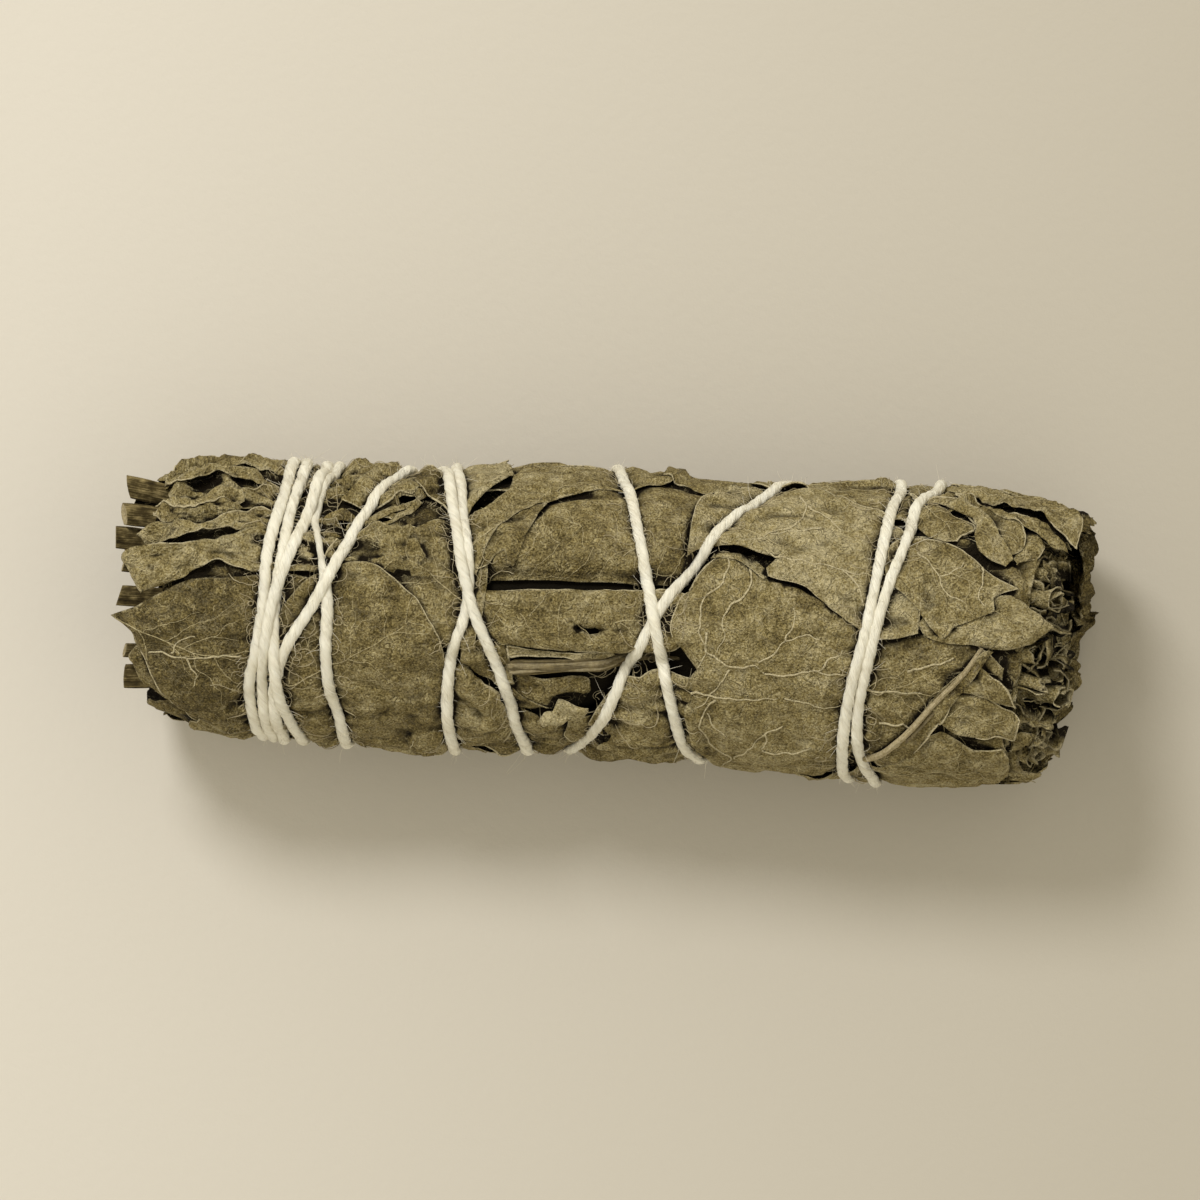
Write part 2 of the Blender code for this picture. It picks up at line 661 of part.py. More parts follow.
def build():
    clear_scene()
    random = np.random.default_rng(7)
    packs = [add_leaf_pack(number, random) for number in range(6)]
    packs.append(add_middle_roll(random))
    for number, spec in enumerate(STEMS):
        add_stem(number + 1, spec, packs)
    add_leaves()
    for number, (name, first, last) in enumerate(RESTING_LEAVES):
        add_resting_leaf(name, first, last, number)
    for number, spec in enumerate(LEAF_TUBES):
        add_leaf_tube(number + 1, *spec)
    for spec in SURFACE_TWIGS:
        add_surface_twig(*spec)
    cotton = material("cotton_string", STRING_COLOUR, 0.95)
    tube_over("cotton_string", string_route(), STRING_DIAMETER / 2, 2, cotton)
    add_knot()


if __name__ == "__main__":
    build()
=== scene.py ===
"""Looks of the eucalyptus smudge stick: wrapped leaves, cut ends, stems and the wound string.

The stick lies along X on z = 0. Its outer leaves are laid out unrolled: a place on them is
(x in mm, angle in degrees), where angle 0 is the top, 90 the +Y side and -90 the -Y side.
Leaves are laid one by one on a height map, so that each drapes over those under it.
"""

import math

import bpy
import numpy as np
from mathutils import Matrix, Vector
from mathutils.geometry import delaunay_2d_cdt


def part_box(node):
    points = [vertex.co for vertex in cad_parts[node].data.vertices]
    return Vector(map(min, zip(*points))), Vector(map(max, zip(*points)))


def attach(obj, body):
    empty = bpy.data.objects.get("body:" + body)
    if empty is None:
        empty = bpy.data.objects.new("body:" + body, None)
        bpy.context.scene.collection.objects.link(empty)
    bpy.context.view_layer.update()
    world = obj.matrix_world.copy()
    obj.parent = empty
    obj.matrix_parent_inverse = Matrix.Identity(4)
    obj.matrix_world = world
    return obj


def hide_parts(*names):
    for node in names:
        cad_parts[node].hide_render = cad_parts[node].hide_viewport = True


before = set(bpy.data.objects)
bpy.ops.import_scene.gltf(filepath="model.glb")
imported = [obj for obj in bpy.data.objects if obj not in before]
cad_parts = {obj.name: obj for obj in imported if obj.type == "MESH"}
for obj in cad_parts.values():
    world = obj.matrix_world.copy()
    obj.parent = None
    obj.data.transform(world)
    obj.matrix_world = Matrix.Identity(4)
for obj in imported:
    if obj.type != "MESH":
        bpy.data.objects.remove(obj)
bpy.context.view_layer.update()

# Sizes are in mm, and MM turns them into metres.
MM = 0.001
AXIS_Z = 15.1
PILE = 2.4
ARC = 15.6 * math.pi / 180
CELL = 0.25
GRID_X0 = -58.0
GRID_COLUMNS = 464
GRID_ROWS = 390
ROW_DEGREES = 360 / GRID_ROWS
BLADE = 0.26
STRING_RADIUS = 0.55
STRING_STEP = 0.3


# ---------------------------------------------------------------- unrolled height maps

def grid_places():
    xs = GRID_X0 + CELL * np.arange(GRID_COLUMNS)
    angles = -180 + ROW_DEGREES * np.arange(GRID_ROWS)
    return np.meshgrid(xs, angles)


GX = grid_places()[0]


def smooth(values, along, across):
    """Gaussian blur of a map, with spreads in mm, joined round the stick."""
    fx = np.fft.fftfreq(GRID_COLUMNS, CELL)[None, :]
    fa = np.fft.fftfreq(GRID_ROWS, ROW_DEGREES * ARC)[:, None]
    kernel = np.exp(-2 * (math.pi * fx * along) ** 2 - 2 * (math.pi * fa * across) ** 2)
    return np.fft.ifft2(np.fft.fft2(values) * kernel).real


def noise(seed, along, across):
    """A smooth random map of unit spread."""
    made = smooth(np.random.default_rng(seed).standard_normal(GX.shape), along, across)
    return (made - made.mean()) / made.std()


def sample(values, x, angle):
    """The map's value at places, between its cells."""
    column = np.clip((np.asarray(x) - GRID_X0) / CELL, 0, GRID_COLUMNS - 1.001)
    row = ((np.asarray(angle) + 180) / ROW_DEGREES) % GRID_ROWS
    c = column.astype(int)
    r = row.astype(int) % GRID_ROWS
    fc = column - c
    fr = row - np.floor(row)
    below = (r + 1) % GRID_ROWS
    upper = values[r, c] * (1 - fc) + values[r, c + 1] * fc
    lower = values[below, c] * (1 - fc) + values[below, c + 1] * fc
    return upper * (1 - fr) + lower * fr


def path_distance(points, path, closed=False):
    """Distance in mm from flat points to a flat path."""
    path = np.asarray(path, float)
    starts = path if closed else path[:-1]
    ends = np.roll(path, -1, axis=0) if closed else path[1:]
    span = ends - starts
    length = np.maximum((span ** 2).sum(1), 1e-9)
    found = np.empty(len(points))
    for first in range(0, len(points), 4000):
        part = points[first:first + 4000]
        away = part[:, None, :] - starts[None]
        share = np.clip((away * span[None]).sum(2) / length[None], 0, 1)
        gap = away - share[..., None] * span[None]
        found[first:first + 4000] = np.sqrt((gap ** 2).sum(2).min(1))
    return found


def unit(vectors):
    """Each row of vectors at a length of 1."""
    return vectors / np.maximum(np.linalg.norm(vectors, axis=1, keepdims=True), 1e-9)


def inside(points, outline):
    """Which flat points lie in a flat outline."""
    ax, ay = outline[:, 0], outline[:, 1]
    bx, by = np.roll(ax, -1), np.roll(ay, -1)
    rise = np.where(by == ay, 1e-9, by - ay)
    found = np.zeros(len(points), bool)
    for first in range(0, len(points), 4000):
        x = points[first:first + 4000, 0][:, None]
        y = points[first:first + 4000, 1][:, None]
        crosses = ((ay > y) != (by > y)) & (x < ax + (y - ay) / rise * (bx - ax))
        found[first:first + 4000] = crosses.sum(1) % 2 == 1
    return found


def flat(corners):
    return np.array([(x, angle * ARC) for x, angle in corners], float)


# ---------------------------------------------------------------- the stick's form

def leaf_radius(x):
    """The outer leaves' radius: wider to the right, drawn in at the left end."""
    radius = 15.05 + 1.1 * (np.clip(x, -45, 48) + 45) / 93
    radius = radius - 2.4 * np.clip((-40 - x) / 10, 0, 1.3) ** 2
    return radius - 0.8 * np.clip((x - 46) / 6, 0, 1.3) ** 2


def place(x, angle, radius):
    """Points in mm; what would reach below the resting surface is pressed flat on it."""
    turned = np.radians(angle)
    down = np.maximum(-np.cos(turned), 0.25)
    limit = (AXIS_Z - 0.05) / down
    pressed = (np.maximum(radius, 1.0) ** -16 + limit ** -16) ** (-1 / 16)
    radius = np.where(-np.cos(turned) > 0.25, pressed, radius)
    return np.stack([x + 0 * radius, radius * np.sin(turned), AXIS_Z + radius * np.cos(turned)], -1)


# ---------------------------------------------------------------- the string's route

ROUTE_ANGLES = (85, 60, 40, 20, 0, -20, -40, -60, -85)
FRONT_RUNS = [
    (-33.4, -34.0, -34.7, -35.5, -35.7, -36.2, -36.9, -36.2, -35.3),
    (-32.0, -32.7, -33.5, -34.0, -34.5, -34.4, -33.8, -32.4, -30.9),
    (-28.7, -30.0, -30.8, -29.9, -28.9, -28.8, -28.3, -27.1, -26.2),
    (-17.3, -16.6, -15.8, -14.9, -13.3, -11.0, -9.3, -8.3, -7.2),
    (1.5, 2.7, 3.7, 4.8, 5.9, 7.2, 8.5, 9.6, 11.7),
    (31.7, 30.8, 30.1, 29.3, 28.5, 27.4, 26.9, 26.8, 27.4),
    (35.7, 33.3, 32.4, 30.9, 29.6, 28.6, 28.2, 28.6, 30.5),
    (19.8, 16.0, 12.5, 9.1, 5.9, 3.7, 1.8, 0.3, -1.4),
    (-16.0, -15.4, -14.9, -14.1, -14.1, -15.4, -15.7, -15.4, -14.5),
    (-20.8, -23.5, -25.7, -27.8, -30.3, -33.1, -34.1, -33.8, -33.0),
    (-29.9, -30.6, -31.6, -33.2, -34.7, -35.4, -35.5, -35.0, -34.2),
]
BACK_ANGLES = (-135, -180, -225)
BACK_RUNS = [
    (-36.6, -36.0, -34.4),
    (-30.4, -29.6, -28.9),
    (-24.2, -21.8, -19.4),
    (-5.2, -3.0, -0.6),
    (15.6, 19.6, 24.2),
    (31.0, 33.6, 35.2),
    (29.6, 27.4, 24.8),
    (-4.8, -9.0, -12.6),
    (-15.4, -17.2, -18.8),
    (-32.5, -31.9, -31.0),
    (-34.4, -33.8),
]
LAST_POINT = (-232, -32.2)
FIRST_POINT = (114, -32.4)
# The strand laid over another at a crossing has the higher rank.
RUN_RANKS = (0, 2, 0, 1, 1, 0, 1, 0, 0, 1, 3)


def string_places():
    """Evenly spaced (x, unwound angle, rank) along the whole string."""
    knots = [(FIRST_POINT[0], FIRST_POINT[1], 0)]
    for turn, run in enumerate(FRONT_RUNS):
        knots += [(angle - 360 * turn, x, RUN_RANKS[turn]) for angle, x in zip(ROUTE_ANGLES, run)]
        knots += [(angle - 360 * turn, x, RUN_RANKS[turn]) for angle, x in zip(BACK_ANGLES, BACK_RUNS[turn])]
    knots.append((LAST_POINT[0] - 360 * (len(FRONT_RUNS) - 1), LAST_POINT[1], RUN_RANKS[-1]))
    knots = np.array(knots, float)
    angles, xs = knots[:, 0], knots[:, 1]
    slopes = np.gradient(xs, angles)
    fine_a = np.linspace(angles[0], angles[-1], 16000)
    spot = np.clip(np.searchsorted(-angles, -fine_a) - 1, 0, len(angles) - 2)
    step = angles[spot + 1] - angles[spot]
    t = (fine_a - angles[spot]) / step
    fine_x = ((2 * t ** 3 - 3 * t ** 2 + 1) * xs[spot] + (t ** 3 - 2 * t ** 2 + t) * step * slopes[spot]
              + (3 * t ** 2 - 2 * t ** 3) * xs[spot + 1] + (t ** 3 - t ** 2) * step * slopes[spot + 1])
    run = np.hypot(np.diff(fine_x), np.diff(fine_a) * ARC)
    travelled = np.concatenate([[0], np.cumsum(run)])
    even = np.arange(0, travelled[-1], STRING_STEP)
    angle = np.interp(even, travelled, fine_a)
    x = np.interp(even, travelled, fine_x)
    wobble = np.random.default_rng(5).standard_normal(len(even))
    x = x + 0.05 * blurred_line(wobble, 8) * 3
    turn = np.clip(((100 - angle) // 360).astype(int), 0, len(RUN_RANKS) - 1)
    return x, angle, np.array(RUN_RANKS)[turn]


def blurred_line(values, spread):
    reach = int(spread * 3)
    kernel = np.exp(-0.5 * (np.arange(-reach, reach + 1) / spread) ** 2)
    padded = np.pad(values, reach, mode="edge")
    return np.convolve(padded, kernel / kernel.sum(), mode="valid")


def wavy(rng, count, spread):
    """Smooth random values along a line."""
    return blurred_line(rng.standard_normal(count), spread)


STRING_X, STRING_ANGLE, STRING_RANK = string_places()


def string_distance_map():
    """Distance in mm from each cell to the nearest strand, up to 6 mm."""
    found = np.full(GX.shape, 6.0)
    reach = 24
    across = ROW_DEGREES * ARC
    for x, angle in zip(STRING_X[::2], STRING_ANGLE[::2]):
        column = int((x - GRID_X0) / CELL)
        row = int(((angle + 180) % 360) / ROW_DEGREES)
        rows = np.arange(row - reach, row + reach + 1)
        columns = np.arange(column - reach, column + reach + 1)
        dx = GRID_X0 + CELL * columns - x
        ds = (rows - ((angle + 180) % 360) / ROW_DEGREES) * across
        away = np.hypot(dx[None], ds[:, None])
        rows = rows % GRID_ROWS
        found[np.ix_(rows, columns)] = np.minimum(found[np.ix_(rows, columns)], away)
    return found


STRING_AWAY = string_distance_map()
GROOVE = 0.75 * np.exp(-(STRING_AWAY / 1.0) ** 2) + 0.3 * np.exp(-(STRING_AWAY / 2.6) ** 2)
GROOVE = smooth(GROOVE, 0.25, 0.25)
SWELL = 0.22 * noise(11, 7, 5) + 0.1 * noise(12, 3, 2)
PUCKER = 0.16 * noise(13, 1.6, 0.55) * np.exp(-(STRING_AWAY / 2.2) ** 2)
GROUND = leaf_radius(GX) - PILE + SWELL + PUCKER - GROOVE


def ground(x, angle):
    return sample(GROUND, x, angle)


# ---------------------------------------------------------------- meshes

def new_object(name, points, faces, made_of, attributes=None):
    """A mesh object from points in mm and a list of face arrays, with named vertex attributes."""
    mesh = bpy.data.meshes.new(name)
    points = np.asarray(points, float) * MM
    mesh.vertices.add(len(points))
    mesh.vertices.foreach_set("co", points.astype(np.float32).ravel())
    sizes = np.concatenate([np.full(len(part), part.shape[1]) for part in faces])
    mesh.loops.add(int(sizes.sum()))
    mesh.loops.foreach_set("vertex_index", np.concatenate([part.ravel() for part in faces]).astype(np.int32))
    mesh.polygons.add(len(sizes))
    mesh.polygons.foreach_set("loop_start", np.concatenate([[0], np.cumsum(sizes)[:-1]]).astype(np.int32))
    mesh.update(calc_edges=True)
    for key, values in (attributes or {}).items():
        values = np.asarray(values, np.float32)
        kind = "FLOAT" if values.ndim == 1 else "FLOAT_VECTOR"
        layer = mesh.attributes.new(key, kind, "POINT")
        layer.data.foreach_set("value" if kind == "FLOAT" else "vector", values.ravel())
    mesh.materials.append(made_of)
    mesh.polygons.foreach_set("use_smooth", np.ones(len(sizes), bool))
    obj = bpy.data.objects.new(name, mesh)
    bpy.context.scene.collection.objects.link(obj)
    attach(obj, "root")
    return obj


class Mesh:
    """Points, faces and attributes gathered from several shapes into one piece."""

    def __init__(self):
        self.points = []
        self.faces = []
        self.values = {}
        self.count = 0
        self.laid = []

    def add(self, points, faces, **values):
        points = np.asarray(points, float)
        self.points.append(points)
        self.faces += [np.asarray(part) + self.count for part in faces if len(part)]
        for key, own in values.items():
            own = np.asarray(own, float)
            if len(own.shape) == 0 or own.shape == (3,):
                own = np.broadcast_to(own, (len(points),) + own.shape)
            self.values.setdefault(key, []).append(own)
        self.count += len(points)

    def build(self, name, made_of):
        attributes = {key: np.concatenate(own) for key, own in self.values.items()}
        return new_object(name, np.concatenate(self.points), self.faces, made_of, attributes)


def tube(points, radii, sides=6):
    """A closed tube round a path of points; returns its points and faces."""
    points = np.asarray(points, float)
    radii = np.broadcast_to(np.asarray(radii, float), (len(points),))
    ahead = unit(np.gradient(points, axis=0))
    side = unit(np.cross(ahead, (0.13, 0.21, 0.97)))
    up = np.cross(side, ahead)
    turns = np.linspace(0, 2 * math.pi, sides, endpoint=False)
    rings = (points[:, None] + radii[:, None, None] * (side[:, None] * np.cos(turns)[None, :, None]
                                                      + up[:, None] * np.sin(turns)[None, :, None]))
    return rings.reshape(-1, 3), ring_faces(len(points), sides)


def ring_faces(rings, sides):
    """Quads round rings of points, with both ends closed."""
    ring, i = np.meshgrid(np.arange(rings - 1), np.arange(sides), indexing="ij")
    a = (ring * sides + i).ravel()
    b = (ring * sides + (i + 1) % sides).ravel()
    quads = np.stack([a, b, b + sides, a + sides], 1)
    return [quads, np.arange(sides - 1, -1, -1)[None], np.arange((rings - 1) * sides, rings * sides)[None]]


# ---------------------------------------------------------------- leaves

def rounded(corners, sharp=75, step=0.35):
    """A smooth outline in flat mm through (x, angle) corners, with sharp corners left as they are."""
    base = flat(corners)
    count = len(base)
    before, after = np.roll(base, 1, axis=0), np.roll(base, -1, axis=0)
    tangent = (after - before) * 0.5
    for i in range(count):
        a, b = before[i] - base[i], after[i] - base[i]
        turn = math.degrees(math.acos(np.clip(a @ b / (np.linalg.norm(a) * np.linalg.norm(b) + 1e-9), -1, 1)))
        if turn < sharp:
            tangent[i] = 0
    points = []
    for i in range(count):
        j = (i + 1) % count
        span = np.linalg.norm(base[j] - base[i])
        reach = min(1.0, span / (np.linalg.norm(tangent[i]) + 1e-9))
        reach_on = min(1.0, span / (np.linalg.norm(tangent[j]) + 1e-9))
        for t in np.arange(0, 1, 1 / max(2, math.ceil(span / step))):
            points.append((2 * t ** 3 - 3 * t ** 2 + 1) * base[i] + (t ** 3 - 2 * t ** 2 + t) * reach
                          * tangent[i]
                          + (3 * t ** 2 - 2 * t ** 3) * base[j] + (t ** 3 - t ** 2) * reach_on * tangent[j])
    return np.array(points)


def torn(outline, amount, seed):
    """The outline with small notches and waves across it."""
    rng = np.random.default_rng(seed)
    count = len(outline)
    ahead = unit(np.roll(outline, -1, axis=0) - np.roll(outline, 1, axis=0))
    across = np.stack([-ahead[:, 1], ahead[:, 0]], 1)
    shift = np.zeros(count)
    for spread, share in ((1.2, 0.5), (3, 0.8), (8, 1.0)):
        raw = rng.standard_normal(count)
        ring = np.concatenate([raw, raw, raw])
        part = blurred_line(ring, spread)[count:2 * count]
        shift += share * part / (part.std() + 1e-9)
    return outline + across * (shift * amount)[:, None]


def filled(outline, spacing, holes=()):
    """Points and triangles that fill a flat outline, finer along its rim."""
    loops = [outline, *holes]
    rim_points = [tuple(point) for loop in loops for point in loop]
    edges = []
    start = 0
    for loop in loops:
        count = len(loop)
        edges += [(start + i, start + (i + 1) % count) for i in range(count)]
        start += count
    low, high = outline.min(0), outline.max(0)
    rows = int((high[1] - low[1]) / (spacing * 0.87)) + 1
    columns = int((high[0] - low[0]) / spacing) + 2
    r, c = np.meshgrid(np.arange(rows), np.arange(columns), indexing="ij")
    inner = np.stack([low[0] + (c + 0.5 * (r % 2)) * spacing, low[1] + (r + 0.5) * spacing * 0.87],
                     -1).reshape(-1, 2)
    inner = inner[inside(inner, outline)]
    away = path_distance(inner, outline, closed=True)
    for hole in holes:
        away = np.minimum(away, path_distance(inner, hole, closed=True))
        away[inside(inner, hole)] = 0
    inner = inner[away > spacing * 0.62]
    ahead = unit(np.roll(outline, -1, axis=0) - np.roll(outline, 1, axis=0))
    second = np.concatenate([outline + 0.14 * np.stack([-ahead[:, 1], ahead[:, 0]], 1),
                             outline - 0.14 * np.stack([-ahead[:, 1], ahead[:, 0]], 1)])
    second = second[inside(second, outline)]
    second = second[path_distance(second, outline, closed=True) > 0.09]
    points = rim_points + [tuple(p) for p in second] + [tuple(p) for p in inner]
    found = delaunay_2d_cdt([Vector(point) for point in points], edges, [], 0, 1e-4)
    places = np.array([tuple(point) for point in found[0]])
    triangles = np.array([list(face) for face in found[2]])
    middles = places[triangles].mean(1)
    keep = inside(middles, outline)
    for hole in holes:
        keep &= ~inside(middles, hole)
    triangles = triangles[keep]
    used = np.unique(triangles)
    renumber = np.full(len(places), -1)
    renumber[used] = np.arange(len(used))
    places, triangles = places[used], renumber[triangles]
    a, b, c = places[triangles[:, 0]], places[triangles[:, 1]], places[triangles[:, 2]]
    area = (b[:, 0] - a[:, 0]) * (c[:, 1] - a[:, 1]) - (c[:, 0] - a[:, 0]) * (b[:, 1] - a[:, 1])
    triangles = np.where((area > 0)[:, None], triangles, triangles[:, ::-1])
    away = path_distance(places, outline, closed=True)
    for hole in holes:
        away = np.minimum(away, path_distance(places, hole, closed=True))
    return places, triangles, away


def shell_faces(triangles, count):
    """Top and bottom faces of a sheet with matching points, and the strip round its rim."""
    a = np.concatenate([triangles[:, 0], triangles[:, 1], triangles[:, 2]])
    b = np.concatenate([triangles[:, 1], triangles[:, 2], triangles[:, 0]])
    single = ~np.isin(a * count + b, b * count + a)
    p, q = a[single], b[single]
    return [triangles, triangles[:, ::-1] + count, np.stack([q, p, p + count, q + count], 1)]


HEIGHT = np.zeros(GX.shape)


def lay(outline, holes, depth, lift, crumple, pleat, ridge, bulge, open_rim, seed, thickness):
    """Lay one leaf on the height map; returns the map of its underside's height over the ground."""
    crumple, pleat = 1.35 * crumple, pleat + 0.12
    global HEIGHT
    low, high = outline.min(0) - 1.5, outline.max(0) + 1.5
    first = max(int((low[0] - GRID_X0) / CELL), 0)
    last = min(int((high[0] - GRID_X0) / CELL) + 2, GRID_COLUMNS)
    bottom = int((low[1] / ARC + 180) / ROW_DEGREES)
    top = int((high[1] / ARC + 180) / ROW_DEGREES) + 2
    rows = np.arange(bottom, top)
    columns = np.arange(first, last)
    cell_x = np.broadcast_to(GRID_X0 + CELL * columns[None], (len(rows), len(columns)))
    cell_s = np.broadcast_to((-180 + ROW_DEGREES * rows[:, None]) * ARC, cell_x.shape)
    points = np.stack([cell_x.ravel(), cell_s.ravel()], 1)
    within = inside(points, outline)
    away = path_distance(points, outline, closed=True)
    for hole in holes:
        hole_away = path_distance(points, hole, closed=True)
        away = np.minimum(away, hole_away)
        within &= ~inside(points, hole)
    away = np.where(within, away, 0).reshape(cell_x.shape)
    within = within.reshape(cell_x.shape)
    spot = np.ix_(rows % GRID_ROWS, columns)
    under = HEIGHT[spot]
    blurred = smooth(HEIGHT, 0.9, 0.9)[spot]
    broad = noise(seed, 4.5, 3.0)[spot]
    folds = np.abs(noise(seed + 1, 2.4, 0.75))[spot] - 0.8
    small = noise(seed + 2, 0.8, 0.5)[spot]
    creases = np.abs(noise(seed + 6, 2.4, 1.5)[spot] * 1.1 % 2 - 1) - 0.5
    pleats = np.abs(noise(seed + 5, 1.7, 0.42)[spot] * 1.7 % 2 - 1) - 0.5
    edge_waves = noise(seed + 3, 1.6, 1.6)[spot]
    share = np.clip(away / bulge, 0, 1)
    share = open_rim + (1 - open_rim) * share * share * (3 - 2 * share)
    target = PILE - depth - thickness
    if ridge:
        share = np.sqrt(np.clip(1 - (1 - np.clip(away / ridge, 0, 1)) ** 2, 0, 1))
    height = blurred + share * np.maximum(target - blurred, 0)
    height = height + 0.15 * broad * share - 1.5 * crumple * folds * (0.3 + 0.7
                                                                      * share) + 0.5 * crumple * small
    height = height + (4.2 * crumple * creases + pleat * pleats) * (0.25 + 0.75 * share)
    near_rim = np.exp(-(away / 0.9) ** 2)
    height = height + 1.5 * lift * near_rim * np.clip(0.6 + 0.7 * edge_waves, 0, 2)
    height = np.maximum(height, under + 0.02)
    local = HEIGHT.copy()
    local[spot] = height
    height_map = np.maximum(smooth(local, 0.12, 0.12), HEIGHT + 0.01)
    result = HEIGHT.copy()
    result[spot] = np.where(within, height_map[spot] + thickness, under)
    HEIGHT = result
    return height_map


def leaf_mesh(into, corners, depth=0.0, lift=0.15, crumple=0.06, pleat=0.0, ridge=0, bulge=0.5,
              open_rim=0.5, ragged=0.09, seed=1, tint=0.0,
              spine=None, holes=(), thickness=BLADE, spacing=0.6, step=0.35, sharp=128):
    """Add one draped leaf to a Mesh; returns its outline and its underside's height map."""
    outline = torn(rounded(corners, sharp, step), ragged, seed + 50)
    holes = [torn(rounded(hole, sharp), ragged, seed + 60) for hole in holes]
    under = lay(outline, holes, depth, lift, crumple, pleat, ridge, bulge, open_rim, seed, thickness)
    places, triangles, away = filled(outline, spacing, holes)
    x, angle = places[:, 0], places[:, 1] / ARC
    low = sample(under, x, angle)
    base = ground(x, angle)
    grain = sample(noise(seed + 7, 0.45, 0.35), x, angle) * 0.02
    edge_thin = np.clip(away / 0.5, 0.45, 1)
    upper = place(x, angle, base + low + thickness * edge_thin + grain)
    lower = place(x, angle, base + low + grain)
    start, end = spine or ((corners[0][0], corners[0][1]),
                           (corners[len(corners) // 2][0], corners[len(corners) // 2][1]))
    start, end = flat([start, end])
    along = (end - start) / max(np.linalg.norm(end - start), 1e-6)
    offset = places - start
    u = offset @ along
    v = offset @ np.array([-along[1], along[0]])
    rng = np.random.default_rng(seed + 9)
    vein = np.stack([u + 0 * v, v, np.full(len(u), rng.uniform(0, 40))], 1)
    faces = shell_faces(triangles, len(places))
    into.laid.append((x, angle, low + thickness))
    into.add(np.concatenate([upper, lower]), faces, vein_place=np.concatenate([vein, vein]),
             rim=np.concatenate([np.clip(away / 1.0, 0, 1), np.clip(away / 1.0, 0, 1) * 0.4]),
             tint=np.full(2 * len(u), tint + rng.uniform(-0.05, 0.05)), pale=np.zeros(2 * len(u)))
    return outline, under


LAID = []


def shade_laid_leaves():
    """Mark on each wrapped leaf how deep its places lie beside what surrounds them: painted shade in the creases,
    beside higher leaf edges and under the string.
    """
    top = STRING_TOP - GROUND
    fine, near, wide = smooth(top, 0.28, 0.28), smooth(top, 0.5, 0.5), smooth(top, 1.3, 1.3)
    for piece, laid in LAID:
        depth = []
        for x, angle, height in laid:
            deep = (0.6 * (sample(fine, x, angle) - height) + 0.75 * (sample(near, x, angle) - height)
                    + 0.5 * (sample(wide, x, angle) - height))
            # Each leaf's underside is marked 1.0, painted fully in shade.
            depth += [deep, np.full(len(x), 1.0)]
        depth = np.concatenate(depth)
        points = len(piece.data.vertices)
        values = np.zeros(points, np.float32)
        values[:len(depth)] = depth
        layer = piece.data.attributes.new("depth", "FLOAT", "POINT")
        layer.data.foreach_set("value", values)


